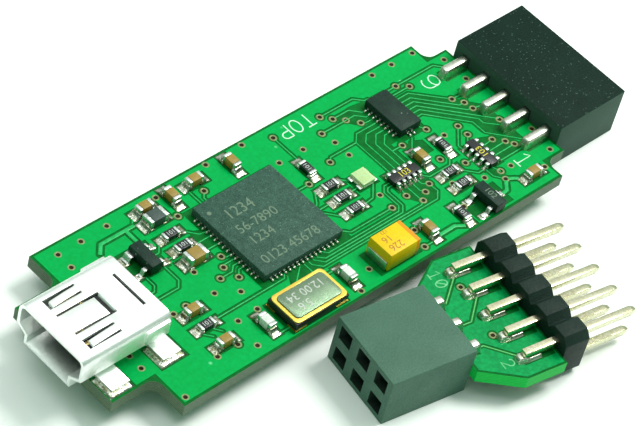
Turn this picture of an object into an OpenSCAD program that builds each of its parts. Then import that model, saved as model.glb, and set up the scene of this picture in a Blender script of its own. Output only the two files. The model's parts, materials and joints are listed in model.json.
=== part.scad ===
// USB microcontroller programmer with its 10-way to 6-way plug adapter.
//
// Each circuit board is drawn in its own frame and then stood on the bench plane Z = 0.
// Programmer frame: X from the USB end to the target socket, Y = 0 on the board's
// centreline, Z = 0 on the board's top face.
// Adapter frame: X from the mouth of its socket to the pin tips, Y = 0 on its
// centreline, Z = 0 on the bench.

/* [Main board] */
// Length of the board between its two tongues
board_l = 44.7; // [44:0.1:60]
// Width of the board
board_w = 18.9; // [18.5:0.1:26]
// Thickness of both circuit boards
board_t = 1.2; // [0.8:0.1:1.6]
// Length of the tongue under the USB port
usb_tongue_l = 4.5; // [4:0.1:5.4]
// Width of the tongue under the USB port
usb_tongue_w = 11.8; // [11.4:0.1:15]
// Length of the tongue that enters the target socket's leads
socket_tongue_l = 2.4; // [2:0.1:4]
// Width of the tongue at the target socket
socket_tongue_w = 14.8; // [14:0.1:18]
// Radius that the router leaves in an inner corner
router_r = 1.0; // [0.5:0.1:1.4]
// Pad and solder thickness under every terminal
seat = 0.05; // [0.02:0.01:0.1]

/* [USB port] */
// Depth of the port's shell, mouth to back
usb_l = 9.2; // [8.5:0.1:11]
// Width of the shell
usb_w = 7.7; // [7.4:0.1:8.2]
// Height of the shell above the board
usb_h = 3.9; // [3.7:0.1:4.8]
// Sheet thickness of the shell
usb_wall = 0.3; // [0.2:0.05:0.35]
// How far the mouth overhangs the board
usb_overhang = 1.8; // [1:0.1:2.4]
// Distance between the front and the rear solder tabs
usb_tab_gap = 5.5; // [5:0.1:6]
// Reach of each solder tab beyond the shell's side
usb_tab_reach = 1.3; // [1:0.1:1.6]
// Diameter of the two locating pegs
usb_peg_d = 0.9; // [0.7:0.05:1.1]
// Pitch of the five contacts
usb_pitch = 0.8; // [0.75:0.01:0.85]

/* [Pin connectors] */
// Pin pitch of the sockets and of the plug
pitch = 2.54; // [2.5:0.01:2.6]
// Side of a square pin or lead
pin_w = 0.64; // [0.5:0.01:0.7]
// Depth of a socket's body, back to mouth
socket_l = 8.5; // [7:0.1:10]
// Height of a socket's body
socket_h = 5.0; // [4.9:0.05:5.6]
// Plastic beyond the outermost contacts, both ends together
socket_margin = 0.24; // [0.1:0.02:0.6]
// Length of the main socket's leads on the board
lead_l = 2.8; // [2:0.1:3]
// Length of the adapter socket's leads on the board
adapter_lead_l = 1.2; // [0.8:0.1:2]
// Contact pairs in the main socket
target_ways = 5; // [5:1:5]
// Contact pairs in the adapter's socket
adapter_ways = 3; // [2:1:3]

/* [Adapter] */
// Depth of the adapter's board between socket and plug
adapter_l = 7.6; // [7:0.1:10]
// Width of the adapter's board
adapter_w = 14.0; // [13.4:0.1:14.2]
// Depth of the adapter's board at its full width, behind the plug
shoulder_l = 4.1; // [3.5:0.1:6]
// Width of the adapter's board at its socket
shoulder_w = 9.2; // [8.5:0.1:12]
// Depth of the plug's plastic block
block_l = 2.5; // [2.3:0.1:3]
// Height of the plug's plastic block
block_h = 4.9; // [4.8:0.1:5.1]
// Length of the pins in front of the block
pin_reach = 5.9; // [5:0.1:9]
// Length of the pin tails on the adapter's board
tail_l = 3.4; // [2.5:0.1:3.6]
// Where the adapter lies: X of its mouth in the programmer frame
adapter_x = 14.7; // [12:0.1:16]
// Gap between the adapter and the main board's edge
adapter_gap = 0.35; // [0.3:0.05:3]
// Turn of the adapter on the bench
adapter_turn = -10; // [-12:1:-8]

/* [Chips] */
// Side of the square microcontroller
mcu_w = 9.0; // [8:0.1:9.6]
// Height of the microcontroller
mcu_h = 0.85; // [0.7:0.05:1]
// Pitch of the chips' fine terminals
fine_pitch = 0.5; // [0.4:0.05:0.5]
// Width of the level buffer
buffer_w = 2.5; // [2.3:0.1:3]
// Length of the level buffer
buffer_l = 4.5; // [4.3:0.1:5]
// Height of the level buffer
buffer_h = 0.85; // [0.7:0.05:1]
// Crystal size: length
crystal_l = 6.0; // [5:0.1:6.4]
// Crystal size: width
crystal_w = 3.5; // [3.2:0.1:3.6]
// Crystal size: height
crystal_h = 1.1; // [0.9:0.1:1.4]
// Tantalum capacitor size: length
tantalum_l = 3.5; // [3.2:0.1:3.8]
// Tantalum capacitor size: width
tantalum_w = 2.8; // [2.6:0.1:3]
// Tantalum capacitor size: height
tantalum_h = 1.9; // [1.6:0.1:2.1]

/* [Hidden] */
$fn = 48;

// A hair of extra depth so that a cut passes its face
eps = 0.02;
// Clearance of a lead, peg or pin in its hole
fit = 0.05;

// ---- where the two frames stand on the bench ----

socket_x = board_l + socket_tongue_l;
mouth_x = -usb_tongue_l - usb_overhang;
far_x = socket_x + socket_l;
// Board top above the bench: the socket straddles the board and lies on the bench
board_z = socket_h / 2 + board_t / 2;

adapter_mid = socket_h / 2;
block_x = socket_l + adapter_l;
// Plan corners of the adapter, for its place beside the main board
adapter_far = [[0, housing_w(adapter_ways) / 2], [block_x - shoulder_l, adapter_w / 2]];
adapter_near = [[block_x, -adapter_w / 2], [block_x + block_l + pin_reach, -2 * pitch - pin_w / 2]];

function housing_w(ways) = ways * pitch + socket_margin;
function turned_y(p) = p.x * sin(adapter_turn) + p.y * cos(adapter_turn);

adapter_y = -board_w / 2 - adapter_gap - max([for (p = adapter_far) turned_y(p)]);
adapter_low_y = adapter_y + min([for (p = adapter_near) turned_y(p)]);
set_x = (mouth_x + far_x) / 2;
set_y = (board_w / 2 + adapter_low_y) / 2;

module stand_programmer() {
    translate([-set_x, -set_y, board_z]) children();
}

module stand_adapter() {
    translate([adapter_x - set_x, adapter_y - set_y, 0])
        rotate([0, 0, adapter_turn]) children();
}

// ---- small shapes that repeat ----

// A block standing on z, centred in X and Y
module block(size, at = [0, 0, 0]) {
    translate([at.x - size.x / 2, at.y - size.y / 2, at.z]) cube(size);
}

// A block between two corners
module span(a, b) {
    translate(a) cube(b - a);
}

// An outline in X and Z, drawn out along Y about the centreline
module side_profile(points, width) {
    rotate([90, 0, 0]) linear_extrude(width, center = true) polygon(points);
}

// An outline in Y and Z, drawn out along X
module end_profile(points, length) {
    rotate([90, 0, 90]) linear_extrude(length) polygon(points);
}

// A square pyramid cut short, pointing along X
module taper(from, to, length) {
    outline = [[0, -from / 2], [length, -to / 2], [length, to / 2], [0, from / 2]];
    widest = max(from, to);
    intersection() {
        linear_extrude(widest, center = true) polygon(outline);
        side_profile(outline, widest);
    }
}

// Places a child at each [x, y, turn] of a list
module at_each(places) {
    for (p = places) translate([p.x, p.y, 0]) rotate([0, 0, p[2]]) children();
}

// Both ends along X of whatever child is drawn at the +X end
module both_ends() {
    children();
    mirror([1, 0, 0]) children();
}

// ---- main circuit board ----

// The material that a router leaves in the corner of a notch
module router_corner() {
    difference() {
        square(router_r);
        translate([router_r, router_r]) circle(router_r);
    }
}

module board_outline() {
    for (s = [-1, 1]) scale([1, s]) {
        translate([0, usb_tongue_w / 2]) mirror([1, 0]) router_corner();
        translate([board_l, socket_tongue_w / 2]) router_corner();
    }
    translate([0, -board_w / 2]) square([board_l, board_w]);
    translate([-usb_tongue_l, -usb_tongue_w / 2]) square([usb_tongue_l + eps, usb_tongue_w]);
    translate([board_l - eps, -socket_tongue_w / 2])
        square([socket_tongue_l + eps, socket_tongue_w]);
}

module main_pcb() {
    color("mediumseagreen") translate([0, 0, -board_t]) difference() {
        linear_extrude(board_t) board_outline();
        for (s = [-1, 1]) translate([usb_peg_x, s * usb_peg_y, -eps])
            cylinder(d = usb_peg_d + 2 * fit, h = board_t + 2 * eps);
    }
}

// ---- USB port ----

usb_back = mouth_x + usb_l;
usb_peg_x = -1.6;
usb_peg_y = 2.2;
usb_contacts_n = 5;
// Front tabs sit this far behind the mouth, the rear ones a tab gap further
usb_tab_x = mouth_x + 3.3;
usb_tab_w = 1.9;
// Height where the narrow lower half of the shell steps out to full width
usb_step_z = 1.3;
usb_step_in = 1.1;
// Outside radius of the folds along the shell's top
usb_fold_r = 0.7;
// Gap between the shell and the plastic inside it
shell_fit = 0.02;
// The plastic fills the back of the shell and carries the contact tongue
usb_plug_depth = 5.4;
usb_tongue_z = 1.75;
usb_tongue_t = 0.8;
usb_contact_t = 0.15;
usb_contact_w = 0.35;

// Points of a rounded corner about a centre, from one angle to another
function arc(centre, r, from, to, steps = 4) =
    [for (i = [0 : steps]) let (a = from + (to - from) * i / steps)
        [centre.x + r * cos(a), centre.y + r * sin(a)]];

// Section of the port, inset from the outside of its shell
function port_section(inset) = let (
    half = usb_w / 2 - inset,
    low_half = usb_w / 2 - usb_step_in - inset,
    low = seat + inset,
    step = usb_step_z + inset / 2,
    fold_y = usb_w / 2 - usb_fold_r,
    fold_z = usb_h - usb_fold_r,
    fold_r = usb_fold_r - inset)
    concat([[-low_half, low], [low_half, low], [low_half, step - 0.3], [half, step + 0.3]],
           arc([fold_y, fold_z], fold_r, 0, 90), arc([-fold_y, fold_z], fold_r, 90, 180),
           [[-half, step + 0.3], [-low_half, step - 0.3]]);

module solder_tab(side) {
    translate([0, side * (usb_w / 2 - usb_step_in), seat])
        scale([1, side, 1]) translate([-usb_tab_w / 2, -usb_wall, 0])
            cube([usb_tab_w, usb_wall + usb_step_in + usb_tab_reach, usb_wall]);
}

// Two springs either side of a middle tongue, and a slot across the back
module shell_slots() {
    cut_z = usb_h - usb_wall - eps;
    cut_h = usb_wall + 0.3;
    spring_x = mouth_x + 1.4;
    spring_l = 3.3;
    spring_gap = 0.22;
    for (s = [-1, 1]) translate([spring_x, s * 2.4, cut_z]) {
        span([0, -0.55, 0], [spring_l, -0.55 + spring_gap, cut_h]);
        span([0, 0.55 - spring_gap, 0], [spring_l, 0.55, cut_h]);
        span([0, -0.55, 0], [0.6, 0.55, cut_h]);
    }
    for (s = [-1, 1]) translate([spring_x, s * 1.1, cut_z])
        span([0, -spring_gap / 2, 0], [4.3, spring_gap / 2, cut_h]);
    translate([spring_x + 4.0, 0, cut_z]) block([0.4, 2.2 + spring_gap, cut_h]);
    translate([mouth_x + 8.0, 0, cut_z]) block([0.3, 3.8, cut_h]);
}

module usb_shell() {
    color("gainsboro") difference() {
        union() {
            translate([mouth_x, 0, 0]) end_profile(port_section(0), usb_l);
            for (side = [-1, 1], x = [0, usb_tab_gap])
                translate([usb_tab_x + x, 0, 0]) solder_tab(side);
            // Shoulders pressed out beside the rear tabs
            translate([usb_back - 1.4, 0, 1.9]) block([2.4, usb_w + 0.5, usb_h - 2.5]);
        }
        translate([mouth_x - eps, 0, 0])
            end_profile(port_section(usb_wall), usb_l + 2 * eps);
        shell_slots();
        for (s = [-1, 1]) translate([usb_peg_x, s * usb_peg_y, 0])
            cylinder(d = usb_peg_d + 2 * fit, h = 1);
    }
}

// One contact: along the tongue, down behind the plastic and out onto its pad
module usb_contact(grow = 0) {
    top = usb_tongue_z + usb_tongue_t;
    t = usb_contact_t;
    back = usb_back + 0.3;
    w = usb_contact_w + 2 * grow;
    translate([0, 0, -grow]) {
        span([mouth_x + 1.6, -w / 2, top - t], [back, w / 2, top + 2 * grow]);
        span([back - t - grow, -w / 2, seat], [back + grow, w / 2, top + 2 * grow]);
        span([back - t, -w / 2, seat], [back + 1.3, w / 2, seat + t + 2 * grow]);
    }
}

module usb_contact_row(grow = 0) {
    middle = (usb_contacts_n - 1) / 2;
    for (i = [0 : usb_contacts_n - 1]) translate([0, (i - middle) * usb_pitch, 0])
        usb_contact(grow);
}

module usb_insulator() {
    root_x = mouth_x + usb_plug_depth;
    floor_half = usb_w / 2 - usb_step_in - usb_wall - fit;
    color("#1a1a1a") {
        difference() {
            union() {
                translate([root_x, 0, 0])
                    end_profile(port_section(usb_wall + shell_fit), usb_back - 0.1 - root_x);
                translate([0, 0, usb_tongue_z])
                    span([mouth_x + 1.3, -2.0, 0], [root_x + eps, 2.0, usb_tongue_t]);
                // A thin floor joins the pegs to the plug of plastic
                span([usb_peg_x - 0.6, -floor_half, seat + usb_wall + shell_fit],
                     [root_x + eps, floor_half, seat + usb_wall + 0.3]);
                for (s = [-1, 1]) translate([usb_peg_x, s * usb_peg_y, -board_t * 0.8])
                    cylinder(d = usb_peg_d, h = board_t * 0.8 + seat + usb_wall + 0.1);
            }
            usb_contact_row(fit / 2);
        }
    }
}

module usb_contacts() {
    color("gold") usb_contact_row();
}

// ---- leadless chips ----

// The square microcontroller, its body pulled back over each terminal's toe
mcu_at = [18.65, 0.9];
mcu_side = 16;
mcu_terminal = [0.4, 0.23, 0.2];
// Plated lands stand out beyond the body
toe = 0.03;

module terminal_row(count, size, reach) {
    middle = (count - 1) / 2;
    for (i = [0 : count - 1])
        translate([reach - size.x / 2, (i - middle) * fine_pitch, seat]) block(size);
}

module mcu_rows() {
    for (a = [0 : 90 : 270]) translate([mcu_at.x, mcu_at.y, 0]) rotate([0, 0, a])
        terminal_row(mcu_side, mcu_terminal, mcu_w / 2 + toe);
}

module mcu_body() {
    color("#3c4442") difference() {
        block([mcu_w, mcu_w, mcu_h], [mcu_at.x, mcu_at.y, seat]);
        mcu_rows();
        mcu_thermal_pad();
    }
}

module mcu_terminals() {
    color("silver") mcu_rows();
}

module mcu_thermal_pad() {
    color("silver") block([mcu_w * 0.6, mcu_w * 0.6, 0.2], [mcu_at.x, mcu_at.y, seat]);
}

// The level buffer stands lengthways across the board, near the socket
buffer_at = [board_l - 7.85, 4.1];
buffer_side = 8;
buffer_end = 2;
buffer_terminal = [0.4, 0.24, 0.2];

module buffer_rows() {
    translate([buffer_at.x, buffer_at.y, 0]) {
        for (a = [0, 180]) rotate([0, 0, a])
            terminal_row(buffer_side, buffer_terminal, buffer_w / 2 + toe);
        for (a = [90, 270]) rotate([0, 0, a])
            terminal_row(buffer_end, buffer_terminal, buffer_l / 2 + toe);
        block([1.0, buffer_l * 0.6, 0.2], [0, 0, seat]);
    }
}

module buffer_body() {
    color("#2a2f2e") difference() {
        block([buffer_w, buffer_l, buffer_h], [buffer_at.x, buffer_at.y, seat]);
        buffer_rows();
    }
}

module buffer_terminals() {
    color("silver") buffer_rows();
}

// ---- crystal: a ceramic tray, a quartz blank, a seal ring and a lid ----

crystal_at = [15.6, -7.25];
crystal_wall = 0.45;
crystal_floor = 0.35;
crystal_ring_t = 0.15;
crystal_lid_t = 0.12;
crystal_pad = [1.3, 1.0, 0.1];

module crystal_frame(z, height, outer_inset, wall) {
    l = crystal_l - 2 * outer_inset;
    w = crystal_w - 2 * outer_inset;
    translate([crystal_at.x, crystal_at.y, z]) difference() {
        block([l, w, height]);
        translate([0, 0, -eps]) block([l - 2 * wall, w - 2 * wall, height + 2 * eps]);
    }
}

crystal_tray_top = seat + crystal_h - crystal_ring_t - crystal_lid_t;

module crystal_pad_set() {
    for (sx = [-1, 1], sy = [-1, 1]) block(crystal_pad,
        [crystal_at.x + sx * (crystal_l - crystal_pad.x + 2 * toe) / 2,
         crystal_at.y + sy * (crystal_w - crystal_pad.y + 2 * toe) / 2, seat]);
}

module crystal_base() {
    base_h = crystal_tray_top - seat;
    color("#2b2b2b") difference() {
        block([crystal_l, crystal_w, base_h], [crystal_at.x, crystal_at.y, seat]);
        block([crystal_l - 2 * crystal_wall, crystal_w - 2 * crystal_wall, base_h],
              [crystal_at.x, crystal_at.y, seat + crystal_floor]);
        crystal_pad_set();
    }
}

module crystal_pads() {
    color("silver") crystal_pad_set();
}

module crystal_blank() {
    mount_l = 0.5;
    color("aliceblue") {
        block([crystal_l * 0.7, crystal_w * 0.45, 0.08],
              [crystal_at.x, crystal_at.y, seat + crystal_floor + 0.1]);
        block([mount_l, crystal_w * 0.4, 0.1],
              [crystal_at.x - crystal_l * 0.35 + mount_l / 2, crystal_at.y,
               seat + crystal_floor]);
    }
}

module crystal_seal_ring() {
    color("gold") crystal_frame(crystal_tray_top, crystal_ring_t, 0.05, 0.4);
}

module crystal_lid() {
    inset = 0.3;
    color("darkgray")
        block([crystal_l - 2 * inset, crystal_w - 2 * inset, crystal_lid_t],
              [crystal_at.x, crystal_at.y, crystal_tray_top + crystal_ring_t]);
}

// ---- moulded tantalum capacitor ----

tantalum_at = [25.4, -7.3];
tantalum_foot = [0.8, 2.2, 0.15];

module tantalum_feet(grow = 0) {
    half = tantalum_l / 2;
    t = tantalum_foot.z;
    translate([tantalum_at.x, tantalum_at.y, seat]) both_ends() {
        span([half - tantalum_foot.x, -tantalum_foot.y / 2 - grow, -grow],
             [half + t, tantalum_foot.y / 2 + grow, t + grow]);
        span([half, -tantalum_foot.y / 2 - grow, -grow],
             [half + t, tantalum_foot.y / 2 + grow, tantalum_h * 0.5]);
    }
}

module tantalum_body() {
    draft = 0.12;
    half = tantalum_w / 2;
    mid = tantalum_h * 0.5;
    color("gold") difference() {
        translate([tantalum_at.x - tantalum_l / 2, tantalum_at.y, seat])
            end_profile([[-half + draft, 0.02], [half - draft, 0.02], [half, mid],
                         [half - draft, tantalum_h], [-half + draft, tantalum_h],
                         [-half, mid]], tantalum_l);
        tantalum_feet(0.01);
    }
}

module tantalum_terminals() {
    color("silver") tantalum_feet();
}

// ---- light-emitting diode ----

led_at = [29.25, 0.1];
led_w = 1.6;
led_base_h = 0.2;
led_h = 0.55;
led_land = [0.45, 0.55, 0.2];

module led_lands() {
    for (sx = [-1, 1], sy = [-1, 1]) block([led_land.x, led_land.y, led_land.z],
        [led_at.x + sx * (led_w / 2 + 0.05), led_at.y + sy * (led_w - led_land.y) / 2, seat]);
}

module led_base() {
    color("ivory") difference() {
        block([led_w, led_w, led_base_h], [led_at.x, led_at.y, seat]);
        led_lands();
    }
}

module led_lens() {
    color("lemonchiffon") block([led_w - 0.1, led_w, led_h - led_base_h],
                                [led_at.x, led_at.y, seat + led_base_h]);
}

module led_terminals() {
    color("silver") led_lands();
}

// ---- small-outline packages with bent leads ----

sot_body = [1.3, 2.9, 1.0];
sot_lead_t = 0.12;
sot_lift = 0.1;

// One gull-wing lead pointing along +X from the body's side
module gull_lead(width, from, reach) {
    mid = seat + sot_lift + sot_body.z * 0.42;
    t = sot_lead_t;
    side_profile([[from, mid], [from + 0.3, mid], [from + 0.45, seat], [from + reach, seat],
                  [from + reach, seat + t], [from + 0.45 + t, seat + t],
                  [from + 0.3 + t, mid + t], [from, mid + t]], width);
}

// leads: [y, width, side] for each lead
module sot_leads(places, leads, reach) {
    at_each(places) for (lead = leads) translate([0, lead[0], 0])
        scale([lead[2], 1, 1]) gull_lead(lead[1], sot_body.x / 2, reach);
}

module sot_body_at(places) {
    draft = 0.08;
    half = sot_body.x / 2;
    mid = sot_body.z / 2;
    at_each(places) translate([0, 0, seat + sot_lift])
        side_profile([[-half + draft, 0], [half - draft, 0], [half, mid],
                      [half - draft, sot_body.z], [-half + draft, sot_body.z],
                      [-half, mid]], sot_body.y);
}

esd_places = [[7.35, 3.65, 0]];
esd_lead_list = [[0.95, 0.8, -1], [-0.95, 0.42, -1], [0.95, 0.42, 1], [-0.95, 0.42, 1]];
transistor_places = [[board_l - 7.95, -7.85, 0]];
transistor_lead_list = [[0.95, 0.42, -1], [-0.95, 0.42, -1], [0, 0.42, 1]];
sot_reach = 0.75;
// The transistor's leads lie flatter on longer pads
transistor_reach = 1.1;

module esd_body() {
    color("#222827") sot_body_at(esd_places);
}

module esd_leads() {
    color("silver") sot_leads(esd_places, esd_lead_list, sot_reach);
}

module transistor_body() {
    color("#222827") sot_body_at(transistor_places);
}

module transistor_leads() {
    color("silver") sot_leads(transistor_places, transistor_lead_list, transistor_reach);
}

// ---- chip resistors and capacitors: [length, width, height, band] ----

small_resistor = [1.6, 0.8, 0.45, 0.3];
small_capacitor = [1.6, 0.8, 0.8, 0.35];
bulk_capacitor = [2.0, 1.2, 1.0, 0.4];
ferrite_bead = [2.0, 1.2, 0.9, 0.4];
load_capacitor = [1.6, 0.8, 0.8, 0.35];

// Places as [x, y, turn]; those beside the socket keep their distance from that end
resistor_places = [
    [11.1, 4.6, 0], [11.1, 3.05, 0], [6.95, -4.35, 0],
    [26.0, 3.65, 90], [26.25, 1.1, 0], [26.25, -0.45, 0], [26.25, -2.0, 0],
    [board_l - 6.6, -1.0, 90], [board_l - 8.4, -3.6, 0], [board_l - 8.4, -5.2, 0],
    [board_l - 11.0, -7.65, 90]];
capacitor_places = [
    [11.15, 7.95, 0], [14.0, 7.7, 90], [16.75, 7.95, 0], [20.9, 7.7, 90],
    [6.95, -2.65, 0], [6.95, -6.55, 0], [29.9, -7.35, 90],
    [board_l - 9.4, -1.0, 90], [board_l - 2.3, -7.9, 0]];
bulk_capacitor_places = [[11.0, 1.5, 0]];
ferrite_places = [[11.1, 6.55, 0]];
load_capacitor_places = [[11.15, -7.0, 90], [20.4, -7.1, 90]];

module chip_middles(places, chip) {
    at_each(places) block([chip[0] - 2 * chip[3], chip[1], chip[2]], [0, 0, seat]);
}

module chip_ends(places, chip) {
    at_each(places) both_ends()
        block([chip[3], chip[1], chip[2]], [(chip[0] - chip[3]) / 2, 0, seat]);
}

module resistor_bodies() {
    color("#23282a") chip_middles(resistor_places, small_resistor);
}

module resistor_terminals() {
    color("silver") chip_ends(resistor_places, small_resistor);
}

module capacitor_bodies() {
    color("#b08a55") chip_middles(capacitor_places, small_capacitor);
}

module capacitor_terminals() {
    color("silver") chip_ends(capacitor_places, small_capacitor);
}

module bulk_capacitor_body() {
    color("#8a6a45") chip_middles(bulk_capacitor_places, bulk_capacitor);
}

module bulk_capacitor_terminals() {
    color("silver") chip_ends(bulk_capacitor_places, bulk_capacitor);
}

module ferrite_body() {
    color("#5a6463") chip_middles(ferrite_places, ferrite_bead);
}

module ferrite_terminals() {
    color("silver") chip_ends(ferrite_places, ferrite_bead);
}

module load_capacitor_bodies() {
    color("whitesmoke") chip_middles(load_capacitor_places, load_capacitor);
}

module load_capacitor_terminals() {
    color("silver") chip_ends(load_capacitor_places, load_capacitor);
}

// ---- resistor arrays: one long chip with five terminals on each long side ----

array_size = [3.2, 1.6, 0.5];
array_ways = 5;
array_pitch = 0.64;
array_land = [0.35, 0.35];
array_places = [[board_l - 12.1, -1.6, 0], [board_l - 4.45, -3.65, 90]];

module array_lands() {
    middle = (array_ways - 1) / 2;
    for (s = [-1, 1], i = [0 : array_ways - 1])
        block([array_land.x, array_land.y, array_size.z],
              [(i - middle) * array_pitch, s * (array_size.y - array_land.y) / 2, seat]);
}

module resistor_array_bodies() {
    color("#23282a") at_each(array_places) difference() {
        block(array_size, [0, 0, seat]);
        // Bare notches between the terminals along both long sides
        for (s = [-1, 1]) block([array_size.x + 1, array_land.y * 2, array_size.z + 1],
                                [0, s * array_size.y / 2, 0]);
    }
}

module resistor_array_terminals() {
    color("silver") at_each(array_places) array_lands();
}

// ---- sockets for square pins ----

// Walls inside a socket
back_t = 1.4;
face_t = 1.3;
cell_w = 1.5;
funnel_w = 1.5;
funnel_l = 0.8;
hole_w = 0.9;
leaf_t = 0.2;
leaf_l = 4.4;

// Y and Z of every contact of one row: side is 1 for the upper row, -1 for the lower
module at_row(ways, side) {
    middle = (ways - 1) / 2;
    for (i = [0 : ways - 1]) translate([0, (i - middle) * pitch, side * pitch / 2]) children();
}

// Socket body from its back at X = 0 to its mouth at X = socket_l, centred on Y and Z
module socket_housing(ways) {
    difference() {
        translate([0, 0, -socket_h / 2]) block([socket_l, housing_w(ways), socket_h],
                                               [socket_l / 2, 0, 0]);
        for (side = [-1, 1]) at_row(ways, side) {
            span([back_t, -cell_w / 2, -cell_w / 2],
                 [socket_l - face_t, cell_w / 2, cell_w / 2]);
            span([-eps, -pin_w / 2 - fit, -pin_w / 2 - fit],
                 [back_t + eps, pin_w / 2 + fit, pin_w / 2 + fit]);
            span([socket_l - face_t - eps, -hole_w / 2, -hole_w / 2],
                 [socket_l + eps, hole_w / 2, hole_w / 2]);
            translate([socket_l + eps, 0, 0]) mirror([1, 0, 0])
                taper(funnel_w, hole_w, funnel_l + eps);
        }
    }
}

// A lead with two spring leaves that grip a pin between them
module socket_contacts(ways, side, lead) {
    leaf_h = pin_w;
    at_row(ways, side) {
        span([-lead, -pin_w / 2, -pin_w / 2], [back_t + 0.6, pin_w / 2, pin_w / 2]);
        for (s = [-1, 1]) translate([back_t + 0.5, s * (pin_w + leaf_t) / 2, 0])
            span([0, -leaf_t / 2, -leaf_h / 2], [leaf_l, leaf_t / 2, leaf_h / 2]);
        block([0.4, pin_w + 2 * leaf_t, leaf_h], [back_t + 0.5, 0, -leaf_h / 2]);
    }
}

module target_frame() {
    translate([socket_x, 0, -board_t / 2]) children();
}

module target_socket_housing() {
    color("#1f2b28") target_frame() socket_housing(target_ways);
}

module target_contacts_upper() {
    color("lightgray") target_frame() socket_contacts(target_ways, 1, lead_l);
}

module target_contacts_lower() {
    color("lightgray") target_frame() socket_contacts(target_ways, -1, lead_l);
}

// ---- solder ----

// A fillet from a terminal's end face out along +X
module fillet(reach, width, height) {
    side_profile([[0, 0], [reach, 0], [reach * 0.35, height * 0.35], [0, height]], width);
}

module chip_fillets(places, chip) {
    at_each(places) both_ends()
        translate([chip[0] / 2, 0, 0]) fillet(0.6, chip[1] * 0.95, chip[2] * 0.8 + seat);
}

module chip_solder() {
    color("lightsteelblue") {
        chip_fillets(resistor_places, small_resistor);
        chip_fillets(capacitor_places, small_capacitor);
        chip_fillets(bulk_capacitor_places, bulk_capacitor);
        chip_fillets(ferrite_places, ferrite_bead);
        chip_fillets(load_capacitor_places, load_capacitor);
    }
}

module usb_solder() {
    reach = usb_w / 2 + usb_tab_reach;
    color("lightsteelblue") for (side = [-1, 1], x = [0, usb_tab_gap])
        translate([usb_tab_x + x, side * reach, 0]) rotate([0, 0, side * 90])
            fillet(0.4, usb_tab_w, usb_wall + seat);
}

// Solder fills the space between a lead and the board face it lies over
module lead_solder(ways, side, from, to) {
    gap = (pitch - pin_w - board_t) / 2;
    foot = 0.15;
    at_row(ways, side) scale([1, 1, side])
        translate([from, 0, 0])
            end_profile([[-pin_w / 2 - foot, -pin_w / 2 - gap],
                         [pin_w / 2 + foot, -pin_w / 2 - gap],
                         [pin_w / 2, -pin_w / 2], [-pin_w / 2, -pin_w / 2]], to - from);
}

module target_socket_solder() {
    color("lightsteelblue") target_frame() for (side = [-1, 1])
        lead_solder(target_ways, side, -lead_l, -0.3);
}

// ---- adapter ----

plug_ways = 5;
shoulder_x = block_x - shoulder_l;
// Chamfers on each cell of the plug's block
cell_chamfer = [0.6, 0.7];
tip_l = 0.5;
tip_w = 0.36;

module adapter_frame() {
    translate([0, 0, adapter_mid]) children();
}

module adapter_pcb() {
    color("mediumseagreen") adapter_frame() translate([0, 0, -board_t / 2])
        linear_extrude(board_t) polygon([
            [socket_l, -shoulder_w / 2], [shoulder_x, -adapter_w / 2],
            [block_x, -adapter_w / 2], [block_x, adapter_w / 2],
            [shoulder_x, adapter_w / 2], [socket_l, shoulder_w / 2]]);
}

// The adapter's socket opens towards -X
module adapter_socket_frame() {
    adapter_frame() translate([socket_l, 0, 0]) mirror([1, 0, 0]) children();
}

module adapter_socket_housing() {
    color("#4a5f58") adapter_socket_frame() socket_housing(adapter_ways);
}

module adapter_contacts_upper() {
    color("lightgray") adapter_socket_frame() socket_contacts(adapter_ways, 1, adapter_lead_l);
}

module adapter_contacts_lower() {
    color("lightgray") adapter_socket_frame() socket_contacts(adapter_ways, -1, adapter_lead_l);
}

// Section of one cell of the block, with its four corners cut off
module plug_cell(width) {
    h = block_h / 2;
    y = width / 2;
    c = cell_chamfer;
    end_profile([[-y, -h + c.y], [-y + c.x, -h], [y - c.x, -h], [y, -h + c.y],
                 [y, h - c.y], [y - c.x, h], [-y + c.x, h], [-y, h - c.y]], block_l);
}

module adapter_plug_block() {
    middle = (plug_ways - 1) / 2;
    color("#25302d") adapter_frame() translate([block_x, 0, 0]) difference() {
        for (i = [0 : plug_ways - 1]) translate([0, (i - middle) * pitch, 0])
            plug_cell(pitch + eps);
        for (side = [-1, 1]) at_row(plug_ways, side)
            span([-eps, -pin_w / 2, -pin_w / 2], [block_l + eps, pin_w / 2, pin_w / 2]);
    }
}

module plug_pins(side) {
    adapter_frame() translate([block_x, 0, 0]) at_row(plug_ways, side) {
        span([-tail_l, -pin_w / 2, -pin_w / 2],
             [block_l + pin_reach - tip_l, pin_w / 2, pin_w / 2]);
        translate([block_l + pin_reach - tip_l, 0, 0]) taper(pin_w, tip_w, tip_l);
    }
}

module adapter_pins_upper() {
    color("lightgoldenrodyellow") plug_pins(1);
}

module adapter_pins_lower() {
    color("lightgoldenrodyellow") plug_pins(-1);
}

module adapter_socket_solder() {
    color("lightsteelblue") adapter_socket_frame() for (side = [-1, 1])
        lead_solder(adapter_ways, side, -adapter_lead_l, -0.1);
}

module adapter_plug_solder() {
    color("lightsteelblue") adapter_frame() translate([block_x, 0, 0]) for (side = [-1, 1])
        lead_solder(plug_ways, side, -tail_l, -0.3);
}

// ---- the assembly ----

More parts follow.
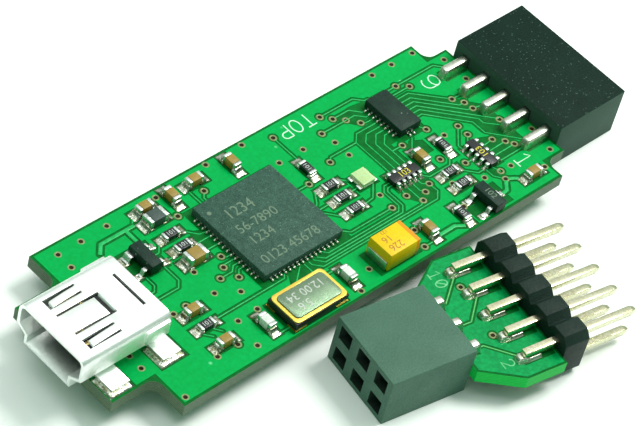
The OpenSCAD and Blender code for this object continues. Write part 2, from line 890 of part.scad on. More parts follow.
stand_programmer() main_pcb();
stand_programmer() usb_shell();
stand_programmer() usb_insulator();
stand_programmer() usb_contacts();
stand_programmer() mcu_body();
stand_programmer() mcu_terminals();
stand_programmer() mcu_thermal_pad();
stand_programmer() buffer_body();
stand_programmer() buffer_terminals();
stand_programmer() crystal_base();
stand_programmer() crystal_blank();
stand_programmer() crystal_seal_ring();
stand_programmer() crystal_lid();
stand_programmer() crystal_pads();
stand_programmer() tantalum_body();
stand_programmer() tantalum_terminals();
stand_programmer() led_base();
stand_programmer() led_lens();
stand_programmer() led_terminals();
stand_programmer() esd_body();
stand_programmer() esd_leads();
stand_programmer() transistor_body();
stand_programmer() transistor_leads();
stand_programmer() resistor_array_bodies();
stand_programmer() resistor_array_terminals();
stand_programmer() resistor_bodies();
stand_programmer() resistor_terminals();
stand_programmer() capacitor_bodies();
stand_programmer() capacitor_terminals();
stand_programmer() bulk_capacitor_body();
stand_programmer() bulk_capacitor_terminals();
stand_programmer() ferrite_body();
stand_programmer() ferrite_terminals();
stand_programmer() load_capacitor_bodies();
stand_programmer() load_capacitor_terminals();
stand_programmer() target_socket_housing();
stand_programmer() target_contacts_upper();
stand_programmer() target_contacts_lower();
stand_programmer() usb_solder();
stand_programmer() chip_solder();
stand_programmer() target_socket_solder();
stand_adapter() adapter_pcb();
stand_adapter() adapter_socket_housing();
stand_adapter() adapter_contacts_upper();
stand_adapter() adapter_contacts_lower();
stand_adapter() adapter_plug_block();
stand_adapter() adapter_pins_upper();
stand_adapter() adapter_pins_lower();
stand_adapter() adapter_socket_solder();
stand_adapter() adapter_plug_solder();
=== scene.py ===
"""The looks of a bare-board USB programmer and its loose plug adapter, on a white bench."""

import json
import math

import bmesh
import bpy
from mathutils import Matrix, Vector, geometry

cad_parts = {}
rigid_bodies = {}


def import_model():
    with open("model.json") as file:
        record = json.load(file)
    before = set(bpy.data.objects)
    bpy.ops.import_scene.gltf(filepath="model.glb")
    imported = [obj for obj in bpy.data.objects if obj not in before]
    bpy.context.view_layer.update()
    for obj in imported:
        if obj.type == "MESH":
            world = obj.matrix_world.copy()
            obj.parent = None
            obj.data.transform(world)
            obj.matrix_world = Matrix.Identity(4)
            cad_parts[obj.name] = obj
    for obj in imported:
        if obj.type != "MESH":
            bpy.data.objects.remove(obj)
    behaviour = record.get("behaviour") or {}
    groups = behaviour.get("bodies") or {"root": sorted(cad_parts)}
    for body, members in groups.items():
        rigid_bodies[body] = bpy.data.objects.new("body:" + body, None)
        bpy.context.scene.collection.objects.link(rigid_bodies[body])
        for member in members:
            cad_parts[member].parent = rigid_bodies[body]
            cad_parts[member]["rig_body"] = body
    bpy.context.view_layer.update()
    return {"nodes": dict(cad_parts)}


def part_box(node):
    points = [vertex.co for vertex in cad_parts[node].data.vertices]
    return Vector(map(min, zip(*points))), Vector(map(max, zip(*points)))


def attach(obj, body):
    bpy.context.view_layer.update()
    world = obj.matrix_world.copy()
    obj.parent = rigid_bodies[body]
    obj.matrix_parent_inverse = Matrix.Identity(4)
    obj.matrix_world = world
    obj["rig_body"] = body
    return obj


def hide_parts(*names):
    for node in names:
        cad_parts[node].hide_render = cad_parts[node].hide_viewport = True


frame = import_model()
nodes = frame["nodes"]
MM = 0.001

# ---- camera ----
# A long lens, aimed down from beyond the USB end and rolled, so that the board runs up
# across the picture.
camera = bpy.data.objects.new("camera", bpy.data.cameras.new("camera"))
camera.data.lens = 175.9
camera.data.sensor_width = 36
camera.data.clip_start = 0.01
CAMERA_PLACE = Vector((-0.1522, -0.0969, 0.1901))
CAMERA_AIM = Vector((-0.0011, 0.00685, 0.0031))
CAMERA_ROLL = math.radians(15.97)
level_look = (CAMERA_AIM - CAMERA_PLACE).to_track_quat("-Z", "Y").to_matrix().to_4x4()
camera.matrix_world = (Matrix.Translation(CAMERA_PLACE) @ level_look
                       @ Matrix.Rotation(CAMERA_ROLL, 4, "Z"))
bpy.context.scene.collection.objects.link(camera)
bpy.context.scene.camera = camera


# ---- bench and lights ----
# A sheet of white card in a light tent. The key light comes from the far right, and the
# tent's near side is darker, which gives the metal something to reflect.
def paint(red, green, blue):
    """A colour as a paint chart gives it, 0 to 255, made linear for the shader."""
    return tuple((max(v, 1) / 255) ** 2.2 for v in (red, green, blue)) + (1.0,)


def add_light(name, place, aim, size, power, colour):
    data = bpy.data.lights.new(name, "AREA")
    data.shape = "RECTANGLE"
    data.size, data.size_y = size
    data.energy = power
    data.color = colour
    light = bpy.data.objects.new(name, data)
    light.matrix_world = (Matrix.Translation(place)
                          @ (Vector(aim) - Vector(place)).to_track_quat("-Z", "Y")
                          .to_matrix().to_4x4())
    bpy.context.scene.collection.objects.link(light)


add_light("key_softbox", (0.26, -0.06, 0.42), (0, 0, 0), (0.20, 0.20), 2.1, (1, 1, 0.97))
add_light("top_softbox", (-0.12, 0.10, 0.5), (0, 0, 0), (0.30, 0.30), 0.6, (0.97, 1, 0.98))
add_light("near_softbox", (-0.34, -0.26, 0.12), (0, 0, 0), (0.16, 0.12), 0.15, (0.9, 1, 0.94))

def add_node(tree, kind, inputs, **settings):
    """A shader node with its settings made. Each input is a constant, or a socket to join."""
    node = tree.nodes.new("ShaderNode" + kind)
    for label, value in settings.items():
        setattr(node, label, value)
    for label, value in inputs.items():
        if isinstance(value, bpy.types.NodeSocket):
            tree.links.new(value, node.inputs[label])
        else:
            node.inputs[label].default_value = value
    return node


world = bpy.data.worlds.new("light_tent")
world.use_nodes = True
bpy.context.scene.world = world
tent = world.node_tree
tent_view = add_node(tent, "TexCoord", {})
tent_turn = add_node(tent, "VectorMath",
                     {0: tent_view.outputs["Generated"], 1: (0.45, 0.35, 0.8)},
                     operation="DOT_PRODUCT")
tent_shades = add_node(tent, "ValToRGB", {"Fac": tent_turn.outputs["Value"]})
tent_shades.color_ramp.elements[0].position = 0.05
tent_shades.color_ramp.elements[0].color = (0.20, 0.44, 0.30, 1)
tent_shades.color_ramp.elements[1].position = 0.75
tent_shades.color_ramp.elements[1].color = (0.79, 1.0, 0.88, 1)
tent_shades.color_ramp.elements.new(0.96).color = (1.75, 1.8, 1.78, 1)
tent_light = tent.nodes["Background"]
tent_light.inputs["Strength"].default_value = 0.6
tent.links.new(tent_shades.outputs["Color"], tent_light.inputs["Color"])
bpy.context.scene.view_settings.view_transform = "Standard"


def link_object(name, mesh):
    piece = bpy.data.objects.new(name, mesh)
    bpy.context.scene.collection.objects.link(piece)
    return piece


def new_material(name, colour, roughness, metallic=0.0, **settings):
    """A Principled material, its node tree and its shader."""
    material = bpy.data.materials.new(name)
    material.use_nodes = True
    tree = material.node_tree
    shader = tree.nodes["Principled BSDF"]
    shader.inputs["Base Color"].default_value = colour
    shader.inputs["Roughness"].default_value = roughness
    shader.inputs["Metallic"].default_value = metallic
    for label, value in settings.items():
        shader.inputs[label.replace("_", " ")].default_value = value
    return material, tree, shader


card_paint, card_tree, card_shader = new_material("white_card", paint(250, 252, 250), 0.9)
card_grain = add_node(card_tree, "TexNoise", {"Scale": 900})
card_bump = add_node(card_tree, "Bump", {"Distance": 0.02 * MM,
                                         "Height": card_grain.outputs["Fac"]})
card_tree.links.new(card_bump.outputs["Normal"], card_shader.inputs["Normal"])
card_mesh = bpy.data.meshes.new("white_card")
card = bmesh.new()
bmesh.ops.create_grid(card, x_segments=1, y_segments=1, size=1.5)
card.to_mesh(card_mesh)
card.free()
card_mesh.materials.append(card_paint)
link_object("white_card", card_mesh)


# ---- main board: laminate ----
# A 1.2 mm glass-epoxy board, routed to shape, with green solder mask on both faces and
# its cut edges left bare. The CAD node carries it, and the copper relief lies on top.
board_low, board_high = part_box("main_pcb")
# Where its wide middle and its two tongues end, from its notch line at the USB end
MIDDLE_END = 44.7
USB_TONGUE_END = -4.5
BOARD_END = 47.1
MIDDLE_HALF = 9.45
USB_TONGUE_HALF = 5.9
SOCKET_TONGUE_HALF = 7.4
BOARD_THICK = 1.2
BOARD_TOP = board_high.z / MM
BOARD_MID = (board_low.y + board_high.y) / 2 / MM
BOARD_START = board_high.x / MM - BOARD_END


def on_board(x, y, z=0.0):
    """A point of the set from the board's own millimetres: X from its notch line at the
    USB end, Y from its centreline, Z from its top face."""
    return Vector((x + BOARD_START, y + BOARD_MID, z + BOARD_TOP)) * MM


def shader_group(name, inputs, outputs):
    group = bpy.data.node_groups.new(name, "ShaderNodeTree")
    for kind, label, value in inputs:
        socket = group.interface.new_socket(name=label, in_out="INPUT", socket_type=kind)
        socket.default_value = value
    for kind, label in outputs:
        group.interface.new_socket(name=label, in_out="OUTPUT", socket_type=kind)
    return group, group.nodes.new("NodeGroupInput"), group.nodes.new("NodeGroupOutput")


def mix_colours(tree, share, first, second):
    """A colour that runs from first to second as share goes from 0 to 1, as a socket."""
    both = add_node(tree, "Mix", {0: share, 6: first, 7: second}, data_type="RGBA")
    return both.outputs[2]


def build_mottle_group():
    """Two tones in soft patches with a finer grain over them, and the grain's height."""
    group, start, end = shader_group(
        "mottle",
        [("NodeSocketColor", "Light", (1, 1, 1, 1)), ("NodeSocketColor", "Dark", (0, 0, 0, 1)),
         ("NodeSocketFloat", "Patch", 200), ("NodeSocketFloat", "Grain", 2000),
         ("NodeSocketFloat", "Sharpness", 0.5)],
        [("NodeSocketColor", "Color"), ("NodeSocketFloat", "Height"),
         ("NodeSocketFloat", "Mask")])
    place = add_node(group, "TexCoord", {}).outputs["Object"]
    patch = add_node(group, "TexNoise", {"Vector": place, "Scale": start.outputs["Patch"],
                                         "Detail": 3})
    grain = add_node(group, "TexNoise", {"Vector": place, "Scale": start.outputs["Grain"],
                                         "Detail": 2, "Roughness": 0.7})
    blend = add_node(group, "Math", {0: patch.outputs["Fac"], 1: 0.45, 2: grain.outputs["Fac"]},
                     operation="MULTIPLY_ADD")
    spread = add_node(group, "MapRange", {"Value": blend.outputs["Value"], "From Min": 0.45,
                                          "From Max": 0.98})
    mask = add_node(group, "Math", {0: spread.outputs["Result"], 1: start.outputs["Sharpness"]},
                    operation="MULTIPLY").outputs["Value"]
    tones = mix_colours(group, mask, start.outputs["Light"], start.outputs["Dark"])
    for label, socket in (("Color", tones), ("Height", grain.outputs["Fac"]), ("Mask", mask)):
        group.links.new(socket, end.inputs[label])
    return group


mottle_group = build_mottle_group()


def build_dust_group():
    """Small pale specks, scattered singly over a finish."""
    group, start, end = shader_group(
        "dust",
        [("NodeSocketColor", "Color", (0, 0, 0, 1)), ("NodeSocketColor", "Dust", (1, 1, 1, 1)),
         ("NodeSocketFloat", "Scale", 1500), ("NodeSocketFloat", "Share", 0.2)],
        [("NodeSocketColor", "Color")])
    place = add_node(group, "TexCoord", {})
    cells = add_node(group, "TexVoronoi", {"Vector": place.outputs["Object"],
                                           "Scale": start.outputs["Scale"]})
    speck = add_node(group, "MapRange", {"Value": cells.outputs["Distance"], "From Min": 0.22,
                                         "From Max": 0.08})
    chance = add_node(group, "SeparateColor", {"Color": cells.outputs["Color"]})
    picked = add_node(group, "Math", {0: chance.outputs["Red"], 1: start.outputs["Share"]},
                      operation="LESS_THAN")
    both = add_node(group, "Math", {0: speck.outputs["Result"], 1: picked.outputs["Value"]},
                    operation="MULTIPLY")
    tones = mix_colours(group, both.outputs["Value"], start.outputs["Color"],
                        start.outputs["Dust"])
    group.links.new(tones, end.inputs["Color"])
    return group


dust_group = build_dust_group()


def mottled(name, light, dark, patch, grain, relief, roughness, metallic=0.0, sharpness=1.0,
            rough_spread=0.0, dust=None, **settings):
    """A finish in two tones with a fine relief. Roughness rises by rough_spread in the dark.
    dust is (colour, specks to a metre, share of places that hold one)."""
    material, tree, shader = new_material(name, light, roughness, metallic, **settings)
    tones = add_node(tree, "Group", {"Light": light, "Dark": dark, "Patch": patch,
                                     "Grain": grain, "Sharpness": sharpness},
                     node_tree=mottle_group)
    bump = add_node(tree, "Bump", {"Distance": relief * MM, "Height": tones.outputs["Height"]})
    surface = tones
    if dust:
        surface = add_node(tree, "Group", {"Color": tones.outputs["Color"], "Dust": dust[0],
                                           "Scale": dust[1], "Share": dust[2]},
                           node_tree=dust_group)
    tree.links.new(surface.outputs["Color"], shader.inputs["Base Color"])
    tree.links.new(bump.outputs["Normal"], shader.inputs["Normal"])
    if rough_spread:
        rough = add_node(tree, "MapRange", {"Value": tones.outputs["Mask"],
                                            "To Min": roughness,
                                            "To Max": roughness + rough_spread})
        tree.links.new(rough.outputs["Result"], shader.inputs["Roughness"])
    return material


def set_finish(node, material):
    data = nodes[node].data
    data.materials.clear()
    data.materials.append(material)


def flat_faces(tree, normal="Normal"):
    """A mask that is 1 on flat faces and 0 on upright ones, as a socket."""
    surface = add_node(tree, "NewGeometry", {})
    facing = add_node(tree, "SeparateXYZ", {"Vector": surface.outputs[normal]})
    flat = add_node(tree, "Math", {0: facing.outputs["Z"]}, operation="ABSOLUTE")
    return flat.outputs["Value"]


def paint_over(material, other, keep):
    """Lays another colour over a finish's own, which still shows where keep is 1."""
    tree = material.node_tree
    base = tree.nodes["Principled BSDF"].inputs["Base Color"]
    tree.links.new(mix_colours(tree, keep, other, base.links[0].from_socket), base)


def build_laminate(name, edge_dark, edge_light):
    """Dark mask on the two faces, and pale layered glass-epoxy where the edge is cut."""
    material = mottled(name, paint(0, 112, 46), paint(0, 86, 34), 150, 1500, 0.01, 0.34,
                       Specular_IOR_Level=0.08)
    tree = material.node_tree
    place = add_node(tree, "TexCoord", {})
    layers = add_node(tree, "TexWave", {"Vector": place.outputs["Object"], "Scale": 1600,
                                        "Distortion": 3.0, "Detail Scale": 4.0},
                      bands_direction="Z")
    edge = mix_colours(tree, layers.outputs["Color"], edge_dark, edge_light)
    paint_over(material, edge, flat_faces(tree, "True Normal"))
    return material


set_finish("main_pcb", build_laminate("laminate", paint(70, 92, 72), paint(104, 122, 98)))

# ---- main board: copper under the mask ----
# Etched copper, 0.035 mm proud under the green mask: a ground pour with channels cut in
# it, and a trace down the middle of each channel. Drawn in the board's own millimetres.

# Height of the copper, widths of the traces, and the gap from each trace to the pour
RELIEF = 0.035
FINE = 0.14
BROAD = 0.42
CLEARANCE = 0.17

# Width, then the corners that the trace runs through
USB_TRACES = [
    (BROAD, [(4.9, 6.3), (5.7, 7.15), (9.4, 7.15)]), (BROAD, [(8.4, 7.15), (8.4, 5.3)]),
    (FINE, [(6.4, 2.4), (6.4, 1.3), (5.95, 0.8), (5.3, 0.8)]),
    (FINE, [(8.45, 2.5), (8.45, 0.6), (7.9, 0.0), (5.3, 0.0)]),
    (FINE, [(8.7, 3.75), (9.1, 3.75), (9.6, 4.3)]), (FINE, [(8.6, 2.75), (9.7, 2.75)]),
    (FINE, [(8.2, -4.2), (15.9, -4.2), (16.4, -3.7)]), (FINE, [(6.2, -4.8), (6.8, -5.5)]),
    (FINE, [(7.3, -4.8), (7.8, -5.5)]), (FINE, [(9.4, 7.4), (9.9, 7.9)])]
MCU_TRACES = [
    (FINE, [(12.4, 4.4), (13.3, 3.4), (13.9, 3.3)]), (FINE, [(12.3, 2.75), (13.9, 2.75)]),
    (FINE, [(12.3, 1.75), (13.9, 1.75)]), (FINE, [(13.15, 0.55), (13.5, 0.25), (13.9, 0.25)]),
    (FINE, [(12.5, -0.45), (12.8, -0.25), (13.9, -0.25)]),
    (FINE, [(11.45, -1.2), (12.8, -1.2), (13.3, -0.75), (13.9, -0.75)]),
    (FINE, [(12.85, -1.95), (13.4, -1.35), (13.9, -1.3)]),
    (FINE, [(13.15, 5.9), (12.3, 6.2)]), (FINE, [(15.8, 7.4), (15.8, 5.8)]),
    (FINE, [(16.95, 6.8), (16.4, 6.2), (16.4, 5.8)]), (FINE, [(11.6, -8.3), (12.8, -8.3)]),
    (FINE, [(23.4, 2.35), (25.05, 2.35)]), (FINE, [(23.4, -0.3), (25.0, -0.3)]),
    (FINE, [(23.4, -0.2), (24.1, 0.4), (24.9, 1.5)]),
    (FINE, [(23.4, -0.4), (24.2, -1.2), (24.9, -2.0)]),
    (FINE, [(19.0, -5.9), (19.8, -5.9)])]
BUNDLE_TRACES = [
    (FINE, [(17.9, -3.6), (17.9, -4.0), (17.1, -4.6), (16.3, -5.2)]),
    (FINE, [(18.4, -3.6), (18.4, -5.4)]),
    (FINE, [(18.9, -3.6), (18.9, -4.4), (19.6, -5.12), (33.3, -5.12), (34.0, -4.45),
            (33.9, -3.45)]),
    (FINE, [(19.4, -3.6), (19.4, -4.15), (20.1, -4.85), (31.6, -4.85), (32.1, -4.55)]),
    (FINE, [(19.9, -3.6), (19.9, -4.1), (20.4, -4.55), (29.6, -4.55), (30.2, -3.95),
            (30.2, -2.1), (30.5, -1.8), (31.4, -1.8)]),
    (FINE, [(20.4, -3.6), (21.0, -4.25), (29.4, -4.25), (29.85, -3.8), (29.85, -2.0),
            (30.4, -1.45), (31.3, -1.45)]),
    (FINE, [(22.9, -3.2), (23.8, -3.2), (24.25, -3.65), (29.2, -3.65)])]
LED_TRACES = [
    (FINE, [(26.2, 8.05), (26.2, 5.0)]), (FINE, [(29.8, -0.7), (28.6, -1.9), (27.6, -2.0)]),
    (FINE, [(27.5, 1.4), (28.3, 0.6)]), (FINE, [(27.5, -0.3), (28.4, -0.3)]),
    (FINE, [(28.4, 3.2), (28.85, 3.6), (31.9, 3.6)]),
    (BROAD, [(30.2, -8.2), (32.3, -8.2), (33.1, -8.7)]), (FINE, [(28.4, -8.4), (29.6, -8.4)]),
    (FINE, [(29.0, -6.55), (29.5, -6.1)])]
BUFFER_TRACES = [
    (FINE, [(35.4, 4.35), (32.75, 4.35), (31.95, 3.6), (31.95, -0.6)]),
    (FINE, [(35.4, 3.85), (33.45, 3.85), (32.65, 3.1), (32.65, -0.6)]),
    (FINE, [(35.4, 3.35), (34.15, 3.35), (33.3, 2.5), (33.3, -0.6)]),
    (FINE, [(35.4, 2.85), (34.75, 2.85), (33.95, 2.1), (33.95, -0.6)]),
    (FINE, [(33.95, 1.1), (35.2, 1.1)]),
    (FINE, [(35.5, 5.85), (35.0, 5.95), (34.15, 6.8), (32.2, 6.8)]),
    (FINE, [(35.5, 5.35), (34.9, 5.35), (34.15, 6.05), (30.15, 6.05)]),
    (FINE, [(35.4, 4.85), (34.4, 4.85), (34.0, 5.1)]),
    (FINE, [(31.4, 7.6), (35.4, 7.6), (36.2, 6.85), (36.6, 6.85)]),
    (FINE, [(38.3, 6.55), (39.85, 6.6)]), (FINE, [(39.85, 6.6), (44.6, 6.6), (45.3, 5.9)]),
    (FINE, [(38.3, 5.9), (40.9, 5.9)]),
    (FINE, [(38.3, 5.35), (40.2, 5.35), (43.05, 2.65)]),
    (FINE, [(38.3, 4.85), (39.95, 4.85), (43.1, 1.75), (43.7, 1.75)]),
    (FINE, [(38.3, 4.35), (39.85, 4.35), (43.3, 0.95), (43.85, 0.8)]),
    (FINE, [(38.3, 3.85), (39.7, 3.85), (44.9, -1.4)]),
    (FINE, [(38.3, 3.35), (39.6, 3.35), (43.35, -0.4), (43.35, -1.0), (44.8, -2.3)]),
    (FINE, [(38.3, 2.85), (39.4, 2.85), (42.6, -0.4), (42.6, -1.9), (45.1, -4.5)]),
    (FINE, [(38.4, 1.3), (38.0, 2.0)]), (FINE, [(36.6, 1.3), (35.7, 0.4)]),
    (FINE, [(43.05, 2.65), (44.6, 2.6)]), (FINE, [(43.85, 0.8), (44.9, 0.6)])]
ARRAY_TRACES = [
    (FINE, [(31.4, -2.4), (31.25, -3.35)]), (FINE, [(32.0, -2.4), (32.0, -4.5)]),
    (FINE, [(32.7, -2.4), (32.7, -3.6), (33.0, -3.9)]),
    (FINE, [(33.3, -2.4), (33.4, -3.1), (33.9, -3.45)]),
    (FINE, [(34.0, -2.3), (34.6, -2.9), (37.1, -2.9), (37.9, -2.1)]),
    (FINE, [(41.4, -2.95), (42.55, -2.85)]), (FINE, [(41.4, -3.7), (43.4, -3.65)]),
    (FINE, [(41.4, -4.35), (43.85, -4.35)]), (FINE, [(41.2, -5.05), (44.6, -5.05)]),
    (FINE, [(41.1, 0.0), (39.4, -1.7), (39.4, -2.3)]), (FINE, [(41.1, -1.2), (40.3, -2.0)]),
    (FINE, [(38.45, -3.5), (39.2, -3.6)]), (FINE, [(37.6, -4.0), (38.6, -5.0), (39.2, -5.0)]),
    (FINE, [(39.4, -5.1), (39.4, -6.0), (40.1, -6.85)]), (FINE, [(40.1, -5.2), (40.4, -6.0)]),
    (BROAD, [(40.1, -6.85), (39.2, -7.85), (38.4, -7.95)]),
    (BROAD, [(40.1, -6.85), (40.9, -7.3), (41.5, -7.8)])]
TRACES = (USB_TRACES + MCU_TRACES + BUNDLE_TRACES + LED_TRACES + BUFFER_TRACES + ARRAY_TRACES)

# Vias that stitch the pour, and vias of a trace, which keep clear of it
GROUND_VIAS = [
    (2.05, 8.25), (4.55, 8.3), (7.45, 8.4), (2.05, 6.6), (13.0, 8.5), (10.1, 0.55),
    (9.95, -2.1), (11.9, -3.2), (9.55, -5.4), (11.75, -5.35), (9.1, -8.2), (0.65, -8.8),
    (-0.3, -4.6), (-0.25, -3.1), (19.1, 8.95), (23.3, 8.95), (24.6, 5.6), (27.45, 5.6),
    (22.6, -7.5), (20.35, -8.85), (30.4, 4.65), (30.4, 2.9), (29.35, -2.0), (39.0, 8.75),
    (41.45, 8.75), (44.1, 8.75), (46.0, 6.55), (46.0, 3.75), (46.1, -6.6), (46.55, -3.95),
    (44.15, -7.8), (41.65, -6.0), (38.6, -5.7), (35.7, -4.6), (34.6, -7.05), (5.65, -1.85),
    (5.6, -7.2), (39.25, -0.1)]
SIGNAL_VIAS = [
    (13.15, 5.9), (13.15, 0.55), (12.5, -0.45), (11.45, -1.2), (12.85, -1.95), (7.1, -1.8),
    (7.85, -7.2), (16.95, 6.8), (26.2, 8.05), (25.05, 2.35), (31.4, 7.6), (32.2, 6.8),
    (30.15, 6.05), (33.1, 6.05), (34.0, 5.1), (28.4, 3.2), (35.2, 1.1), (38.4, 1.3),
    (41.1, 0.0), (41.1, -1.2), (36.85, -1.95), (42.55, -2.85), (43.4, -3.65), (43.85, -4.35),
    (38.45, -3.5), (40.4, -5.95), (40.1, -6.85), (29.2, -3.65), (31.25, -3.35), (33.0, -3.95),
    (33.95, -3.45), (32.1, -4.55), (29.0, -6.55), (28.4, -8.4), (43.05, 2.65), (43.7, 1.75),
    (43.85, 0.8), (44.9, -1.5), (39.85, 6.6), (40.9, 5.9)]
# Radius of a via's ring, of the gap in the pour round it, and of what a trace leaves clear
VIA_RADIUS = 0.33
VIA_CLEAR = 0.52
VIA_HOLE = 0.24
# A trace's end stops at a via that is this near
STOP_NEAR = 0.05

# Zones that the pour leaves out, by their corners
BARE_ZONES = [
    [(31.7, -0.5), (31.7, 3.6), (32.7, 4.6), (35.6, 4.6), (35.6, 1.7), (34.4, 1.7), (34.4, -0.5)],
    [(38.0, 5.6), (40.3, 5.6), (42.6, 3.3), (45.1, 0.5), (45.1, -4.6), (42.3, -1.8),
     (42.3, -0.5), (39.3, 2.6), (38.0, 2.6)],
    [(33.4, 5.1), (32.0, 6.9), (34.4, 7.1), (36.6, 6.8), (36.6, 5.2)],
    [(16.6, -3.8), (15.6, -5.4), (19.2, -5.4), (23.9, -4.3), (23.9, -3.4)],
    [(39.0, -2.0), (39.0, -5.2), (39.8, -6.4), (40.5, -5.2), (43.6, -5.2), (44.2, -3.9),
     (42.8, -2.5), (41.3, -1.9)],
    [(12.6, 4.2), (13.9, 3.6), (13.9, 1.5), (12.5, 1.5)],
    [(31.0, -2.4), (31.0, -3.6), (32.0, -5.1), (33.4, -5.2), (34.2, -4.4), (34.4, -2.6)],
    [(37.2, -0.9), (37.2, 0.6), (36.0, 1.2), (34.9, 0.2), (36.4, -0.9)]]


def round_outline(x, y, radius, sides=12):
    return [(x + radius * math.cos(math.tau * i / sides),
             y + radius * math.sin(math.tau * i / sides)) for i in range(sides)]


def band_outline(start, end, half_width):
    """A straight band with round ends, about the line from start to end."""
    along = math.atan2(end[1] - start[1], end[0] - start[0])
    outline = []
    for centre, turn in ((end, along - math.pi / 2), (start, along + math.pi / 2)):
        for i in range(6):
            angle = turn + math.pi * i / 5
            outline.append((centre[0] + half_width * math.cos(angle),
                            centre[1] + half_width * math.sin(angle)))
    return outline


def box_outline(x0, y0, x1, y1):
    return [(x0, y0), (x1, y0), (x1, y1), (x0, y1)]


def box_about(x, y, half_x, half_y):
    return box_outline(x - half_x, y - half_y, x + half_x, y + half_y)


def runs_backwards(ring):
    return sum(a[0] * b[1] - b[0] * a[1] for a, b in zip(ring, ring[1:] + ring[:1])) < 0


def copper_sheet(outline, cut_outlines, place, relief):
    """A sheet inside outline, less every cut outline, pulled up to its relief."""
    points, rings = [], []
    for ring in [outline] + cut_outlines:
        ring = ring[::-1] if runs_backwards(ring) else ring
        first = len(points)
        points += [Vector(p) for p in ring]
        rings.append(list(range(first, first + len(ring))))
    corners, _, faces, _, _, owners = geometry.delaunay_2d_cdt(points, [], rings, 1, 1e-5)
    sheet = bmesh.new()
    spots = [sheet.verts.new(place(p.x, p.y)) for p in corners]
    for face, owner in zip(faces, owners):
        if set(owner) == {0}:
            sheet.faces.new([spots[i] for i in face])
    bmesh.ops.delete(sheet, geom=[v for v in sheet.verts if not v.link_faces],
                     context="VERTS")
    bmesh.ops.dissolve_limit(sheet, angle_limit=0.001, verts=sheet.verts, edges=sheet.edges)
    raised = bmesh.ops.extrude_face_region(sheet, geom=sheet.faces[:])["geom"]
    top = [v for v in raised if isinstance(v, bmesh.types.BMVert)]
    bmesh.ops.translate(sheet, verts=top, vec=(0, 0, relief * MM))
    bmesh.ops.triangulate(sheet, faces=sheet.faces[:])
    bmesh.ops.recalc_face_normals(sheet, faces=sheet.faces[:])
    return sheet


def add_piece(name, mesh, materials, body, slot, *replaced):
    """Makes a bmesh a piece of the set: its finish, its body and the nodes it stands for."""
    data = bpy.data.meshes.new(name)
    mesh.to_mesh(data)
    mesh.free()
    for material in materials if isinstance(materials, list) else [materials]:
        data.materials.append(material)
    piece = link_object(name, data)
    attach(piece, body)
    if replaced:
        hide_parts(*replaced)
    return piece


def lay_traces(name, traces, place, relief, material, body, stops=()):
    """Low rounded ridges along each trace's corners. One that ends at a via, whose places
    are the stops, ends on its ring and leaves its hole clear."""
    curve = bpy.data.curves.new(name, "CURVE")
    curve.dimensions = "3D"
    curve.bevel_depth = FINE / 2 * MM
    curve.bevel_resolution = 2
    curve.use_fill_caps = True
    for width, corners in traces:
        corners = [Vector(corner) for corner in corners]
        for end, before in ((0, 1), (-1, -2)):
            if any((corners[end] - Vector(via)).length < STOP_NEAR for via in stops):
                corners[end] += (corners[before] - corners[end]).normalized() * VIA_HOLE
        spline = curve.splines.new("POLY")
        spline.points.add(len(corners) - 1)
        for point, (x, y) in zip(spline.points, corners):
            point.co = (x * MM, y * MM, 0, 1)
            point.radius = width / FINE
    drawn = link_object(name + "_drawn", curve)
    shape = bmesh.new()
    shape.from_mesh(drawn.to_mesh())
    bpy.data.objects.remove(drawn)
    for v in shape.verts:
        share = max(v.co.z / curve.bevel_depth, 0)
        v.co = place(v.co.x / MM, v.co.y / MM, share ** 0.5 * relief)
    bmesh.ops.recalc_face_normals(shape, faces=shape.faces[:])
    return add_piece(name, shape, material, body, "board_laminate")


mask_finish = mottled("green_mask", paint(0, 168, 82), paint(0, 148, 66), 120, 2500, 0.012, 0.32,
                      sharpness=0.8, dust=(paint(110, 210, 150), 1000, 0.02),
                      Specular_IOR_Level=0.06)
trace_finish = mottled("mask_over_trace", paint(52, 186, 106), paint(14, 160, 78), 300, 3000,
                       0.01, 0.3, Specular_IOR_Level=0.15)

EDGE_MARGIN = 0.25
NEAR_SIDE = [
    (USB_TONGUE_END + EDGE_MARGIN, EDGE_MARGIN - USB_TONGUE_HALF),
    (EDGE_MARGIN, EDGE_MARGIN - USB_TONGUE_HALF), (EDGE_MARGIN, EDGE_MARGIN - MIDDLE_HALF),
    (MIDDLE_END - EDGE_MARGIN, EDGE_MARGIN - MIDDLE_HALF),
    (MIDDLE_END - EDGE_MARGIN, EDGE_MARGIN - SOCKET_TONGUE_HALF),
    (BOARD_END - EDGE_MARGIN, EDGE_MARGIN - SOCKET_TONGUE_HALF)]
POUR_OUTLINE = NEAR_SIDE + [(x, -y) for x, y in reversed(NEAR_SIDE)]

# Places of the two-ended chips, as (x, y, turned by a quarter)
RESISTORS = [(11.1, 4.6, 0), (11.1, 3.05, 0), (6.95, -4.35, 0), (26.0, 3.65, 1),
             (26.25, 1.1, 0), (26.25, -0.45, 0), (26.25, -2.0, 0), (38.1, -1.0, 1),
             (36.3, -3.6, 0), (36.3, -5.2, 0), (33.7, -7.65, 1)]
CAPACITORS = [(11.15, 7.95, 0), (14.0, 7.7, 1), (16.75, 7.95, 0), (20.9, 7.7, 1),
              (6.95, -2.65, 0), (6.95, -6.55, 0), (29.9, -7.35, 1), (35.3, -1.0, 1),
              (42.4, -7.9, 0)]
LOAD_CAPACITORS = [(11.15, -7.0, 1), (20.4, -7.1, 1)]
BULK_CAPACITOR = [(11.0, 1.5, 0)]
FERRITE = [(11.1, 6.55, 0)]
